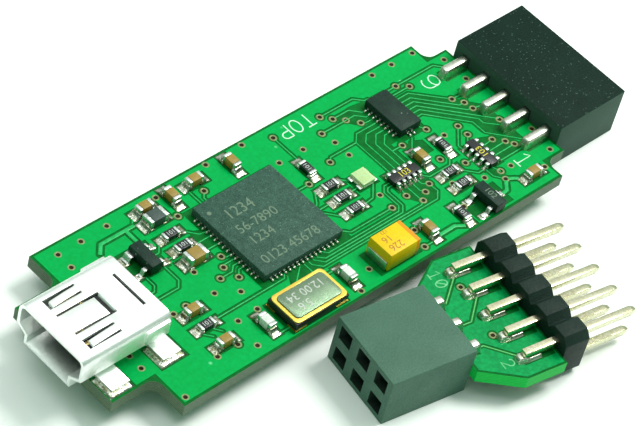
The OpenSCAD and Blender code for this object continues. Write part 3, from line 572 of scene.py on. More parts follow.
# Chip length, width and height, then the reach of its lands and their width
SMALL_LOW = (1.6, 0.8, 0.45, 3.0, 1.05)
SMALL_TALL = (1.6, 0.8, 0.8, 3.0, 1.1)
LARGE = (2.0, 1.2, 1.0, 3.3, 1.35)
CHIP_LANDS = ([(p, SMALL_LOW) for p in RESISTORS]
              + [(p, SMALL_TALL) for p in CAPACITORS + LOAD_CAPACITORS]
              + [(p, LARGE) for p in BULK_CAPACITOR + FERRITE])
# The four tabs of the USB shell: where each pair lies along X, and their reach along Y
TAB_SPANS = [(-4.4, -1.9), (1.0, 3.75)]
TAB_INNER = 3.2
TAB_OUTER = 5.65
# The five ways of a lead row, on its standard pitch
LEAD_PITCH = 2.54
LEAD_Y = [i * LEAD_PITCH for i in range(-2, 3)]
# Middles of the microcontroller and the buffer, and the arrays as (x, y, turned)
MCU = (18.65, 0.9)
BUFFER = (36.85, 4.1)
ARRAYS = [(32.6, -1.6, 0), (40.25, -3.65, 1)]
# Bare ground of the microcontroller, buffer, arrays, protector, transistor, crystal,
# tantalum capacitor and diode, as (middle x, middle y, half length, half width)
PACKAGE_GROUND = [
    (*MCU, 5.05, 5.05), (*BUFFER, 1.75, 2.8), (*ARRAYS[0][:2], 1.8, 1.25),
    (*ARRAYS[1][:2], 1.25, 1.75), (7.35, 3.8, 1.75, 1.7), (36.7, -7.7, 2.2, 1.3),
    (15.6, -7.2, 3.3, 1.9), (25.4, -7.3, 2.5, 1.4), (29.25, 0.1, 1.25, 1.0)]
# What the pour leaves round a chip's land and a tab's, and how far it laps under a ring
LAND_GAP = 0.14
TAB_GAP = 0.15
RING_LAP = 0.04
# Lands of the socket's leads, as (start, end, half width)
LEAD_LANDS = (44.2, 46.95, 0.7)


def chip_land_boxes():
    boxes = []
    for (x, y, turned), (_, _, _, reach, width) in CHIP_LANDS:
        along, across = reach / 2 + LAND_GAP, width / 2 + LAND_GAP
        if turned:
            along, across = across, along
        boxes.append(box_about(x, y, along, across))
    return boxes


def trace_channels(traces):
    """A band about each stretch of each trace, wider than it by the clearance."""
    return [band_outline(start, end, width / 2 + CLEARANCE)
            for width, corners in traces for start, end in zip(corners, corners[1:])]


def lead_lands(land, ways):
    start, end, half = land
    return [box_outline(start, y - half, end, y + half) for y in ways]


def pour_cuts():
    cuts = BARE_ZONES + trace_channels(TRACES)
    cuts += [round_outline(x, y, VIA_CLEAR) for x, y in SIGNAL_VIAS]
    cuts += [round_outline(x, y, VIA_RADIUS - RING_LAP) for x, y in GROUND_VIAS]
    cuts += chip_land_boxes()
    cuts += [box_outline(x0 - TAB_GAP, side * (TAB_INNER - TAB_GAP), x1 + TAB_GAP,
                         side * (TAB_OUTER + TAB_GAP))
             for x0, x1 in TAB_SPANS for side in (-1, 1)]
    cuts += lead_lands(LEAD_LANDS, LEAD_Y)
    return cuts + [box_about(*ground) for ground in PACKAGE_GROUND]


add_piece("ground_pour", copper_sheet(POUR_OUTLINE, pour_cuts(), on_board, RELIEF),
          mask_finish, "programmer", "board_laminate")
lay_traces("board_traces", TRACES, on_board, RELIEF, trace_finish, "programmer",
           SIGNAL_VIAS)

# ---- vias ----
# Plated holes 0.3 mm wide with a copper ring, closed over by the mask, which thins to a
# brownish dimple in the middle.
via_ring = mottled("mask_over_ring", paint(150, 152, 106), paint(108, 132, 84), 600, 4000, 0.01,
                   0.3, Specular_IOR_Level=0.3)
# Faces whose middle is this near the hole's are the dimple
VIA_DIMPLE = 0.19
via_dimple = mottled("via_dimple", paint(56, 38, 20), paint(26, 22, 10), 900, 4000, 0.01, 0.5,
                     Specular_IOR_Level=0.1)


def smooth_piece(shape):
    bmesh.ops.recalc_face_normals(shape, faces=shape.faces[:])
    for face in shape.faces:
        face.smooth = True
    return shape


def drill_vias(name, vias, place, body):
    shape = bmesh.new()
    section = [(0.0, 0.002), (0.13, 0.004), (0.2, 0.02), (0.24, 0.05), (0.29, 0.048),
               (VIA_RADIUS, 0.034), (VIA_RADIUS + 0.03, 0.0)]
    for x, y in vias:
        points = [shape.verts.new(place(x + r, y, z)) for r, z in section]
        lines = [shape.edges.new(pair) for pair in zip(points, points[1:])]
        bmesh.ops.spin(shape, geom=points + lines, cent=place(x, y), axis=(0, 0, 1),
                       angle=math.tau, steps=14, use_merge=True)
        centre = place(x, y)
        for face in shape.faces:
            if (face.calc_center_median() - centre).length < VIA_DIMPLE * MM:
                face.material_index = 1
    bmesh.ops.remove_doubles(shape, verts=shape.verts, dist=1e-7)
    return add_piece(name, smooth_piece(shape), [via_ring, via_dimple], body, "board_laminate")


drill_vias("board_vias", GROUND_VIAS + SIGNAL_VIAS, on_board, "programmer")

# ---- silkscreen ----
# White epoxy ink, screened over the mask in single strokes: a plain word on the board and
# the numbers of the socket's end pins.
ink_finish = mottled("white_ink", paint(214, 246, 222), paint(188, 228, 200), 800, 5000, 0.005,
                     0.6)
INK_WIDTH = 0.13
INK_HEIGHT = 0.015
LETTER_WIDTH = 0.66


def arc(x, y, rx, ry, start, end, steps=12):
    """Points along part of an ellipse, its angles in degrees."""
    sweep = [math.radians(start + (end - start) * i / steps) for i in range(steps + 1)]
    return [(x + rx * math.cos(a), y + ry * math.sin(a)) for a in sweep]


ROUND_LETTER = arc(0.33, 0.5, 0.33, 0.5, 0, 360, 24)
# Strokes of each character, one unit tall and up to LETTER_WIDTH wide
STROKES = {
    "T": [[(0, 1), (0.66, 1)], [(0.33, 1), (0.33, 0)]],
    "O": [ROUND_LETTER],
    "P": [[(0, 0), (0, 1)], [(0, 1), (0.36, 1)] + arc(0.36, 0.75, 0.28, 0.25, 90, -90)
          + [(0, 0.5)]],
    "9": [arc(0.34, 0.72, 0.29, 0.27, 0, 360, 10),
          [(0.63, 0.72)] + arc(0.33, 0.32, 0.3, 0.32, 0, -150, 6)],
    "1": [[(0.08, 0.78), (0.36, 1), (0.36, 0)], [(0.1, 0), (0.62, 0)]],
    "0": [ROUND_LETTER, [(0.08, 0.15), (0.58, 0.85)]],
    "2": [arc(0.33, 0.7, 0.3, 0.3, 170, -40) + [(0.0, 0.0), (0.66, 0.0)]]}


def write_strokes(name, text, centre, height, turn, place, body, ink, widen=1.0, pitch=0.95):
    """Ink strokes of a word about centre, turned by so many degrees."""
    width = (len(text) - 1) * pitch + LETTER_WIDTH
    cos, sin = math.cos(math.radians(turn)), math.sin(math.radians(turn))
    lines = []
    for i, letter in enumerate(text):
        for stroke in STROKES[letter]:
            local = [((i * pitch + x - width / 2) * height * widen, (y - 0.5) * height)
                     for x, y in stroke]
            lines.append((INK_WIDTH, [(centre[0] + u * cos - v * sin,
                                       centre[1] + u * sin + v * cos) for u, v in local]))

    def above(x, y, z):
        return place(x, y, RELIEF + z)

    return lay_traces(name, lines, above, INK_HEIGHT, ink, body)


write_strokes("board_word", "TOP", (28.85, 7.95), 1.45, 180, on_board, "programmer",
              ink_finish)
write_strokes("pin_number_far", "9", (42.95, 5.25), 1.8, -90, on_board, "programmer",
              ink_finish, 1.2)
write_strokes("pin_number_near", "1", (43.15, -6.1), 1.7, -90, on_board, "programmer",
              ink_finish)


# ---- solder of the chips ----
# Tin solder, melted on each copper land: a thin film that wets the land and climbs the
# chip's end cap in a curve.
def solder_metal(name, light, dark, roughness, relief=0.05):
    return mottled(name, light, dark, 1400, 3000, relief, roughness, 1.0, sharpness=1.3,
                   rough_spread=0.18)


solder_finish = solder_metal("bright_solder", paint(226, 230, 220), paint(124, 126, 98), 0.16)
# Thickness of the film, how far in its rim is rounded, and how fast a fillet runs out
FILM = 0.04
RIM_ROUND = 0.16
FILLET_REACH = 0.17
# How far the solder goes in under a chip before it is only a film
TUCK = 0.02
# Where a chip's lands start from its middle, and how much of its height the solder climbs
LAND_START = 0.45
CLIMB_SHARE = 0.62


def close_underneath(shape, rim, floor_height):
    """Drops a wall from the rim to floor_height and closes it with a flat floor."""
    wall = bmesh.ops.extrude_edge_only(shape, edges=list(rim))["geom"]
    sunk = [v for v in wall if isinstance(v, bmesh.types.BMVert)]
    for v in sunk:
        v.co.z = floor_height
    bmesh.ops.holes_fill(shape, edges=list({e for v in sunk for e in v.link_edges
                                            if e.is_boundary}), sides=0)


def solder_land(shape, x, y, turned, inner, outer, width, cap, climb):
    """Solder from inner to outer along a chip's end, whose cap is (end, half width).
    It climbs the cap by climb. A negative outer is the chip's other end."""
    side = 1 if outer > 0 else -1
    length = abs(outer - inner)
    made = bmesh.ops.create_grid(shape, x_segments=12, y_segments=8, size=0.5)["verts"]
    rim = [e for v in made for e in v.link_edges if e.is_boundary]
    for v in made:
        u, w = (v.co.x + 0.5) * length, v.co.y * width
        edge = min(u, length - u, width / 2 - abs(w))
        soft = min(1.0, max(edge, 0) / RIM_ROUND)
        end = abs(inner) + u - cap[0]
        beside = abs(w) - cap[1]
        away = math.hypot(max(end, 0), max(beside, 0))
        under = end < -TUCK and beside < -TUCK
        height = FILM if under else FILM + climb * math.exp(-away / FILLET_REACH)
        rise = height * math.sin(soft * math.pi / 2) + 0.002
        du, dw = side * (abs(inner) + u), w
        if turned:
            du, dw = -dw, du
        v.co = on_board(x + du, y + dw, rise)
    close_underneath(shape, set(rim), on_board(0, 0, 0.001).z)


def solder_chips():
    shape = bmesh.new()
    for (x, y, turned), (length, width, height, reach, land) in CHIP_LANDS:
        for side in (-1, 1):
            solder_land(shape, x, y, turned, side * LAND_START, side * reach / 2, land,
                        (length / 2, width / 2), height * CLIMB_SHARE)
    return smooth_piece(shape)


add_piece("chip_solder_fillets", solder_chips(), solder_finish, "programmer", "solder",
          "chip_solder")


# ---- chip caps and bodies ----
# Resistors, capacitors and a ferrite: fired ceramic blocks with tin-plated end caps,
# tumbled until their edges are round, and soldered down by the caps.
def softened(node, radius, material, slot, segments=2, reshape=None):
    """Stands a copy of a CAD node, with its sharp edges rounded, in the node's place. The
    rounded edges and sloping faces are shaded smooth and the flat faces stay flat."""
    shape = bmesh.new()
    shape.from_mesh(nodes[node].data)
    bmesh.ops.remove_doubles(shape, verts=shape.verts, dist=2e-7)
    bmesh.ops.dissolve_limit(shape, angle_limit=math.radians(1), verts=shape.verts,
                             edges=shape.edges)
    if reshape:
        reshape(shape)
    for face in shape.faces:
        face.smooth = 0.001 < abs(face.normal.z) < 0.999
    sharp = [e for e in shape.edges
             if e.is_manifold and e.calc_face_angle(0) > math.radians(25)]
    rounded = bmesh.ops.bevel(shape, geom=sharp, offset=radius * MM, affect="EDGES",
                              segments=segments, profile=0.5, material=-1, clamp_overlap=True)
    for face in rounded["faces"]:
        face.smooth = True
    bmesh.ops.triangulate(shape, faces=[f for f in shape.faces if len(f.verts) > 4])
    piece = add_piece(node + "_finished", shape, material, nodes[node]["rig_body"], slot, node)
    piece.data.set_sharp_from_angle(angle=math.radians(50))
    return piece


tin_finish = solder_metal("tin_plate", paint(236, 240, 237), paint(190, 198, 192), 0.24)
resistor_finish = mottled("resistor_glaze", paint(40, 44, 46), paint(14, 16, 18), 900, 6000, 0.01,
                          0.3)
tan_finish = mottled("tan_ceramic", paint(160, 132, 54), paint(136, 109, 44), 900, 7000, 0.01,
                     0.42)
white_finish = mottled("white_ceramic", paint(232, 236, 228), paint(196, 204, 196), 900, 7000,
                       0.01, 0.4)
ferrite_finish = mottled("ferrite_grey", paint(64, 84, 78), paint(44, 60, 56), 900, 7000,
                         0.015, 0.5)
for node in ("resistor_terminals", "capacitor_terminals", "bulk_capacitor_terminals",
             "ferrite_terminals", "load_capacitor_terminals"):
    softened(node, 0.07, tin_finish, "tin_plate")
softened("resistor_bodies", 0.03, resistor_finish, "resistor_glaze")
softened("capacitor_bodies", 0.04, tan_finish, "capacitor_tan")
softened("bulk_capacitor_body", 0.05, tan_finish, "capacitor_tan")
softened("load_capacitor_bodies", 0.04, white_finish, "capacitor_white")
softened("ferrite_body", 0.05, ferrite_finish, "ferrite_grey")


# ---- marks ----
# Value and lot numbers, printed in thin ink or burnt in by laser on the tops of the
# packages. They are plain numbers.

# Height of a digit as a share of its type size
DIGIT_SHARE = 0.7


def print_marks(name, marks, material, body, slot, thickness=0.006):
    """marks: (text, point of the set in metres, height in mm, turn in degrees)."""
    shape = bmesh.new()
    for text, place, height, turn in marks:
        curve = bpy.data.curves.new(name, "FONT")
        curve.body = text
        curve.size = height * MM / DIGIT_SHARE
        curve.align_x = "CENTER"
        curve.align_y = "CENTER"
        curve.extrude = thickness * MM / 2
        curve.resolution_u = 3
        drawn = link_object(name + "_drawn", curve)
        bpy.context.view_layer.update()
        flat = drawn.to_mesh()
        flat.transform(Matrix.Translation(place) @ Matrix.Rotation(math.radians(turn), 4, "Z"))
        shape.from_mesh(flat)
        bpy.data.objects.remove(drawn)
    bmesh.ops.recalc_face_normals(shape, faces=shape.faces[:])
    return add_piece(name, shape, material, body, slot)


# Height of the chips' undersides above the board, and of the print above a chip's top
SEAT = 0.05
PRINT_LIFT = 0.002
RESISTOR_TOP = SEAT + SMALL_LOW[2] + PRINT_LIFT
code_finish = mottled("code_print", paint(205, 214, 208), paint(150, 160, 155), 3000, 9000, 0.004,
                      0.5)
print_marks("resistor_codes",
            [("101", on_board(x, y, RESISTOR_TOP), 0.42, 90 if turned else 0)
             for x, y, turned in RESISTORS], code_finish, "programmer", "resistor_glaze")

# ---- resistor arrays ----
# Each is five resistors fired on one black ceramic chip, with five tin caps soldered along
# each long side. Its value is printed in yellow.
softened("resistor_array_bodies", 0.03, resistor_finish, "resistor_glaze")
softened("resistor_array_terminals", 0.06, tin_finish, "tin_plate")
yellow_print = mottled("yellow_print", paint(232, 222, 60), paint(180, 170, 40), 3000, 9000,
                       0.004, 0.5)
ARRAY_TOP = SEAT + 0.5 + PRINT_LIFT
print_marks("array_codes",
            [("103", on_board(x, y, ARRAY_TOP), 0.62, 90 if turned else 0)
             for x, y, turned in ARRAYS], yellow_print, "programmer", "resistor_glaze")


# Caps along each side, their pitch, and half the chip's width across them
ARRAY_WAYS = 5
ARRAY_PITCH = 0.64
ARRAY_HALF = 0.8


def solder_arrays():
    shape = bmesh.new()
    for x, y, turned in ARRAYS:
        for i in range(ARRAY_WAYS):
            shift = (i - (ARRAY_WAYS - 1) / 2) * ARRAY_PITCH
            for side in (-1, 1):
                at = (x, y + shift) if turned else (x + shift, y)
                solder_land(shape, *at, 0 if turned else 1, side * 0.5, side * 1.15, 0.42,
                            (ARRAY_HALF, 0.17), 0.3)
    return smooth_piece(shape)


add_piece("array_solder", solder_arrays(), solder_finish, "programmer", "solder")

# ---- leadless chips ----
# The microcontroller and the level buffer: epoxy moulded round a tinned lead frame and
# sawn off flush. Solder stands at the toe of every terminal.
# Painted light: the green tint in these black epoxy tones stands in for the green cast of the light
# on dark things
speckle_black = mottled("speckled_epoxy", paint(72, 106, 92), paint(38, 66, 56), 2600, 9000,
                        0.03, 0.5, sharpness=1.2, rough_spread=0.15,
                        dust=(paint(112, 142, 126), 4200, 0.3), Specular_IOR_Level=0.2)
smooth_black = mottled("black_epoxy", paint(34, 62, 50), paint(18, 38, 32), 1600, 9000, 0.02,
                       0.42, sharpness=1.1, rough_spread=0.12,
                       dust=(paint(120, 140, 128), 2400, 0.06), Specular_IOR_Level=0.2)
softened("mcu_body", 0.06, speckle_black, "chip_epoxy")
softened("buffer_body", 0.06, smooth_black, "chip_epoxy")
for node in ("mcu_terminals", "buffer_terminals", "mcu_thermal_pad"):
    set_finish(node, tin_finish)
laser_mark = mottled("laser_mark", paint(104, 126, 102), paint(84, 108, 88), 4000, 9000, 0.01,
                     0.6)
MCU_TOP = SEAT + 0.85 + PRINT_LIFT
print_marks("mcu_marks",
            [(".", on_board(14.9, 5.0, MCU_TOP), 2.4, 0),
             ("1234", on_board(17.4, 3.1, MCU_TOP), 1.1, 0),
             ("56-7890", on_board(17.8, 1.35, MCU_TOP), 0.95, 0),
             ("1234", on_board(17.0, -0.15, MCU_TOP), 0.95, 0),
             ("0123 45678", on_board(18.3, -2.25, MCU_TOP), 0.95, 0)],
            laser_mark, "programmer", "chip_epoxy", 0.004)


# Pitch of the terminals, the beads' reach from the chip's middle, their width and height
TOE_PITCH = 0.5
MCU_TOE = 4.68
TOE_WIDTH = 0.27
TOE_HEIGHT = 0.2


def toe_bead(shape, x, y, turned, length):
    """A low mound of solder, flat underneath, on one terminal's land."""
    made = bmesh.ops.create_uvsphere(shape, u_segments=10, v_segments=6, radius=0.5)["verts"]
    for v in made:
        u, w = v.co.x * length, v.co.y * TOE_WIDTH
        if turned:
            u, w = w, u
        v.co = on_board(x + u, y + w, 0.02 + max(v.co.z, -0.02) * 2 * TOE_HEIGHT)


def solder_toes():
    shape = bmesh.new()
    for i in range(16):
        shift = (i - 7.5) * TOE_PITCH
        for side in (-1, 1):
            toe_bead(shape, MCU[0] + side * MCU_TOE, MCU[1] + shift, 0, 0.5)
            toe_bead(shape, MCU[0] + shift, MCU[1] + side * MCU_TOE, 1, 0.5)
    for side in (-1, 1):
        for i in range(8):
            toe_bead(shape, BUFFER[0] + side * 1.5, BUFFER[1] + (i - 3.5) * TOE_PITCH, 0, 0.55)
        for i in range(2):
            toe_bead(shape, BUFFER[0] + (i - 0.5) * TOE_PITCH, BUFFER[1] + side * 2.5, 1, 0.55)
    return smooth_piece(shape)


lead_tin = solder_metal("lead_tin", paint(232, 236, 228), paint(176, 180, 160), 0.2, 0.01)
add_piece("toe_solder", solder_toes(), lead_tin, "programmer", "solder")

# ---- crystal ----
# A black ceramic tray that holds a thin quartz blank. A gold-plated ring is brazed on the
# tray's rim, and a stamped lid is welded to the ring.
black_ceramic = mottled("black_ceramic", paint(34, 34, 34), paint(16, 16, 16), 900, 5000, 0.02,
                        0.35)
gold_plate = mottled("gold_plate", paint(252, 226, 112), paint(232, 190, 76), 900, 4000, 0.02,
                     0.26, 1.0, rough_spread=0.15)
lid_metal = mottled("lid_metal", paint(134, 158, 130), paint(100, 122, 100), 1500, 8000, 0.02, 0.32,
                    1.0, rough_spread=0.12)
quartz = mottled("quartz", paint(220, 226, 228), paint(200, 206, 210), 800, 3000, 0.01, 0.3)
softened("crystal_base", 0.06, black_ceramic, "crystal_ceramic")


# Corner radius of the ring and the lid, and how much narrower than its CAD node the lid is
LID_CORNER = 0.45
LID_DRAW = 0.14


def round_corners(shape):
    """Rounds the upright corners, as the ring and the lid are stamped."""
    upright = [e for e in shape.edges if e.is_manifold and e.calc_face_angle(0) > math.radians(60)
               and abs((e.verts[0].co - e.verts[1].co).normalized().z) > 0.9]
    bmesh.ops.bevel(shape, geom=upright, offset=LID_CORNER * MM, affect="EDGES", segments=5,
                    profile=0.5, material=-1, clamp_overlap=True)


def draw_in(shape):
    """Rounds the lid and draws its rim in, so that the seal ring shows round it."""
    round_corners(shape)
    middle = sum((v.co for v in shape.verts), Vector()) / len(shape.verts)
    low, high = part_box("crystal_lid")
    for v in shape.verts:
        v.co.x = middle.x + (v.co.x - middle.x) * (1 - LID_DRAW * MM / (high.x - low.x))
        v.co.y = middle.y + (v.co.y - middle.y) * (1 - LID_DRAW * MM / (high.y - low.y))


softened("crystal_seal_ring", 0.06, gold_plate, "gold_plate", 3, round_corners)
softened("crystal_lid", 0.07, lid_metal, "lid_metal", 3, draw_in)
set_finish("crystal_pads", gold_plate)
set_finish("crystal_blank", quartz)
lid_etch = mottled("lid_etch", paint(205, 210, 200), paint(160, 166, 158), 3000, 9000, 0.004,
                   0.5)
LID_TOP = SEAT + 1.1 + PRINT_LIFT
print_marks("crystal_marks", [("12.00 34", on_board(15.6, -6.7, LID_TOP), 0.8, 180),
                              ("5.6", on_board(14.6, -7.8, LID_TOP), 0.8, 180)],
            lid_etch, "programmer", "lid_metal")

# ---- tantalum capacitor ----
# A block of yellow epoxy, moulded round its slug, with an orange stripe printed at its
# positive end. Its two tin feet are folded down its ends and under it.

# X on the board where the stripe starts
STRIPE_START = 26.75


def striped_yellow():
    material = mottled("tantalum_yellow", paint(232, 200, 14), paint(220, 180, 8), 700, 5000,
                       0.02, 0.38, Specular_IOR_Level=0.25)
    tree = material.node_tree
    place = add_node(tree, "TexCoord", {})
    split = add_node(tree, "SeparateXYZ", {"Vector": place.outputs["Object"]})
    plain = add_node(tree, "Math", {0: split.outputs["X"], 1: on_board(STRIPE_START, 0).x},
                     operation="LESS_THAN")
    paint_over(material, paint(236, 140, 20), plain.outputs["Value"])
    return material


softened("tantalum_body", 0.05, striped_yellow(), "tantalum_yellow")
softened("tantalum_terminals", 0.03, tin_finish, "tin_plate")
brown_print = mottled("brown_print", paint(190, 120, 20), paint(160, 96, 16), 3000, 9000, 0.004,
                      0.5)
TANTALUM_TOP = SEAT + 1.9 + PRINT_LIFT
print_marks("tantalum_marks",
            [("226", on_board(24.9, -7.9, TANTALUM_TOP), 0.7, 180),
             ("16", on_board(24.7, -6.95, TANTALUM_TOP), 0.7, 180),
             ("123", on_board(25.0, -6.25, TANTALUM_TOP), 0.35, 180)],
            brown_print, "programmer", "tantalum_yellow")

# ---- light-emitting diode ----
# A white laminate base with tin ends, under a block of clear epoxy that is moulded over
# pale yellow-green phosphor.
led_laminate = mottled("led_laminate", paint(214, 226, 196), paint(192, 208, 172), 900, 5000,
                       0.01, 0.5)
led_epoxy = mottled("led_epoxy", paint(202, 228, 160), paint(186, 212, 134), 900, 4000, 0.01,
                    0.22, Subsurface_Weight=0.2, Coat_Weight=0.3)
softened("led_base", 0.03, led_laminate, "led_laminate")
softened("led_lens", 0.05, led_epoxy, "led_epoxy", 3)
softened("led_terminals", 0.03, tin_finish, "tin_plate")

# ---- small bent-lead packages ----
# A surge protector and a transistor: black epoxy bodies moulded on bent tin leads, whose
# feet are soldered flat to the board.
for node in ("esd_body", "transistor_body"):
    softened(node, 0.05, smooth_black, "chip_epoxy")
for node in ("esd_leads", "transistor_leads"):
    softened(node, 0.03, tin_finish, "tin_plate")
TRANSISTOR_TOP = SEAT + 1.1 + PRINT_LIFT
print_marks("transistor_marks",
            [("102", on_board(36.75, -7.85, TRANSISTOR_TOP), 0.6, -90)],
            laser_mark, "programmer", "chip_epoxy")
# Lead rows as (x, y, side, half width of the lead) of the two packages
BENT_LEADS = [(7.35, 4.6, -1, 0.4), (7.35, 2.7, -1, 0.21), (7.35, 4.6, 1, 0.21),
              (7.35, 2.7, 1, 0.21), (36.75, -6.9, -1, 0.21), (36.75, -8.8, -1, 0.21),
              (36.75, -7.85, 1, 0.21)]


def solder_bent_leads():
    shape = bmesh.new()
    for x, y, side, half in BENT_LEADS:
        solder_land(shape, x, y, 0, side * 1.0, side * 2.0, half * 2 + 0.35, (1.45, half), 0.12)
    return smooth_piece(shape)


add_piece("package_solder", solder_bent_leads(), solder_finish, "programmer", "solder")

# ---- USB port ----
# A tin-plated steel shell folded round black plastic, with springs cut in its top and
# four tabs soldered flat to the board.
shell_finish = mottled("shell_tin", paint(248, 251, 248), paint(232, 237, 233), 260, 2600, 0.02,
                       0.36, 0.92, rough_spread=0.12)
port_plastic = mottled("port_plastic", paint(30, 30, 30), paint(16, 16, 16), 900, 5000, 0.02,
                       0.45)
contact_gold = mottled("contact_gold", paint(226, 200, 136), paint(190, 160, 92), 900, 4000,
                       0.01, 0.22, 1.0)
PORT_TOP = 3.9
# Spring leaves as (y of the middle, half width, X of the tip, X of the root, dip of the tip)
SHELL_LEAVES = [(-2.4, 0.36, -4.35, -1.6, 0.26), (2.4, 0.36, -4.35, -1.6, 0.26),
                (0.0, 1.02, -1.05, -3.2, 0.14)]
# Cuts across a leaf for its bend
LEAF_BENDS = 6


def bend_leaves(shape):
    """Bends each leaf down out of the shell's top, more steeply towards its tip."""
    for middle, half, tip, root, dip in SHELL_LEAVES:
        for i in range(LEAF_BENDS + 1):
            cut = on_board(tip + (root - tip) * i / LEAF_BENDS, 0)
            bmesh.ops.bisect_plane(shape, geom=shape.verts[:] + shape.edges[:] + shape.faces[:],
                                   dist=1e-7, plane_co=cut, plane_no=(1, 0, 0))
        leaf_tip = on_board(tip, middle - half, PORT_TOP - 0.4)
        leaf_root = on_board(root, middle + half)
        for v in shape.verts:
            share = (v.co.x - leaf_root.x) / (leaf_tip.x - leaf_root.x)
            inside = leaf_tip.y < v.co.y < leaf_root.y and v.co.z > leaf_tip.z
            if inside and 0 < share < 1.2:
                v.co.z -= dip * MM * min(share, 1.15) ** 1.5


softened("usb_shell", 0.04, shell_finish, "shell_steel", 2, bend_leaves)
softened("usb_insulator", 0.04, port_plastic, "black_plastic")
set_finish("usb_contacts", contact_gold)


def solder_port():
    shape = bmesh.new()
    for x0, x1 in TAB_SPANS:
        for side in (-1, 1):
            solder_land(shape, (x0 + x1) / 2, 0, 1, side * TAB_INNER, side * TAB_OUTER, x1 - x0,
                        (5.15, 0.95), 0.2)
    return smooth_piece(shape)


add_piece("port_solder", solder_port(), solder_finish, "programmer", "solder", "usb_solder")

# ---- target socket ----
# A black plastic block, moulded with ten cells that each hold a sprung contact of tinned
# bronze. The contacts' square leads lie on the board's two faces and are soldered there.
# Painted light: the green tint in this black plastic's tones stands in for the green cast of the
# light on dark things
socket_plastic = mottled("socket_plastic", paint(18, 46, 37), paint(10, 32, 26), 500, 6000, 0.04,
                         0.55, sharpness=1.1, rough_spread=0.12,
                         dust=(paint(78, 108, 94), 3400, 0.6), Specular_IOR_Level=0.12)
# Painted light: the upright faces are painted paler than the flat ones, standing in for the light
# on the sides
paint_over(socket_plastic, paint(58, 84, 72), flat_faces(socket_plastic.node_tree))
softened("target_socket_housing", 0.1, socket_plastic, "black_plastic", 3)
for node in ("target_contacts_upper", "target_contacts_lower"):
    softened(node, 0.06, tin_finish, "plated_contact")


# Half width of the solder on top of a lead, and how much lower it is at the lead's edges
LEAD_HALF = 0.36
SHOULDER_DROP = 0.07


def solder_lead(shape, place, free, root, foot, free_top, root_top, nose_share):
    """One smooth mass of solder about a square lead, from its free end to its root and down
    to a foot on the board. place takes the way along the lead, across it and above the
    board. free_top and root_top are its heights at its two ends, and nose_share is the part
    of its length in which it rises."""
    made = bmesh.ops.create_grid(shape, x_segments=20, y_segments=20, size=0.5)["verts"]
    rim = {e for v in made for e in v.link_edges if e.is_boundary}
    for v in made:
        along, across = v.co.x + 0.5, v.co.y * 2
        nose = math.sqrt(1 - max(1 - along / nose_share, 0) ** 2)
        top = free_top + (root_top - free_top) * min(along / 0.5, 1)
        out = abs(across)
        if out < 0.5:
            y = LEAD_HALF * out / 0.5
            z = top * (1 - SHOULDER_DROP * (out / 0.5) ** 2)
        else:
            down = (out - 0.5) / 0.5
            y = LEAD_HALF + (foot - LEAD_HALF) * down
            z = top * (1 - SHOULDER_DROP) * (1 - down) ** 1.5
        v.co = place(free + (root - free) * along, math.copysign(y, across) * (0.55 + 0.45 * nose),
                     max(0.004, z * nose))
    close_underneath(shape, rim, place(0, 0, 0.001).z)


def solder_row(ways, place, free, root, foot, free_top, root_top, nose_share):
    """Solder about the leads of a row, on the board's top face and on its underside."""
    shape = bmesh.new()
    for y in ways:
        for face in (1, -1):
            solder_lead(shape, lambda u, v, w, y=y, face=face: place(
                u, y + v, w if face > 0 else -BOARD_THICK - w), free, root, foot, free_top,
                root_top, nose_share)
    return smooth_piece(shape)


add_piece("lead_solder", solder_row(LEAD_Y, on_board, 43.95, 47.05, 0.52, 1.1, 1.06, 0.13),
          lead_tin, "programmer", "solder", "target_socket_solder")

# ---- adapter board ----
# A small loose board of the same laminate, cut with sloping shoulders, that carries six
# ways of a socket over to ten plug pins. Its mask is a little paler than the main board's.
ADAPTER_TURN = math.radians(-10)
adapter_low, adapter_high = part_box("adapter_socket_housing")
SOCKET_DEPTH = 8.5
ADAPTER_MID = (adapter_low.z + adapter_high.z) / 2 / MM
socket_centre = (adapter_low + adapter_high) / 2 / MM
ADAPTER_START = (socket_centre.x - SOCKET_DEPTH / 2 * math.cos(ADAPTER_TURN),
                 socket_centre.y - SOCKET_DEPTH / 2 * math.sin(ADAPTER_TURN))
ADAPTER_TOP = BOARD_THICK / 2


def on_adapter(x, y, z=0.0):
    """A point of the set from the adapter's millimetres: X from its socket's mouth, Y from
    its centreline, Z from its board's top face."""
    cos, sin = math.cos(ADAPTER_TURN), math.sin(ADAPTER_TURN)
    return Vector((ADAPTER_START[0] + x * cos - y * sin, ADAPTER_START[1] + x * sin + y * cos,
                   ADAPTER_MID + ADAPTER_TOP + z)) * MM


set_finish("adapter_pcb", build_laminate("adapter_laminate", paint(0, 168, 60),
                                         paint(30, 190, 84)))
adapter_mask = mottled("adapter_mask", paint(10, 164, 88), paint(4, 132, 70), 260, 2500, 0.012,
                       0.28, sharpness=1.2, Specular_IOR_Level=0.12)
adapter_trace = mottled("adapter_trace", paint(112, 196, 118), paint(70, 178, 96), 300, 3000,
                        0.01, 0.3, Specular_IOR_Level=0.15)
ADAPTER_TRACES = [
    (FINE, [(9.3, 2.54), (10.4, 2.54), (13.2, 5.08)]), (FINE, [(9.3, 0), (11.2, 0), (13.2, 2.0)]),
    (FINE, [(9.3, -2.54), (10.6, -2.54), (13.0, -5.08)]), (FINE, [(12.4, 0.1), (13.3, 0.1)]),
    (FINE, [(12.0, -1.95), (13.2, -2.5)])]
ADAPTER_VIAS = [(12.6, 3.5), (12.4, 0.1), (12.0, -1.95)]
# Lands of the plug's pins and of the socket's leads, as (start, end, half width)
PLUG_LANDS = (12.6, 15.8, 0.7)
SOCKET_LANDS = (8.5, 9.9, 0.65)
ADAPTER_OUTLINE = [(8.7, -4.5), (12.05, -6.8), (15.9, -6.8), (15.9, 6.8), (12.05, 6.8),
                   (8.7, 4.5)]


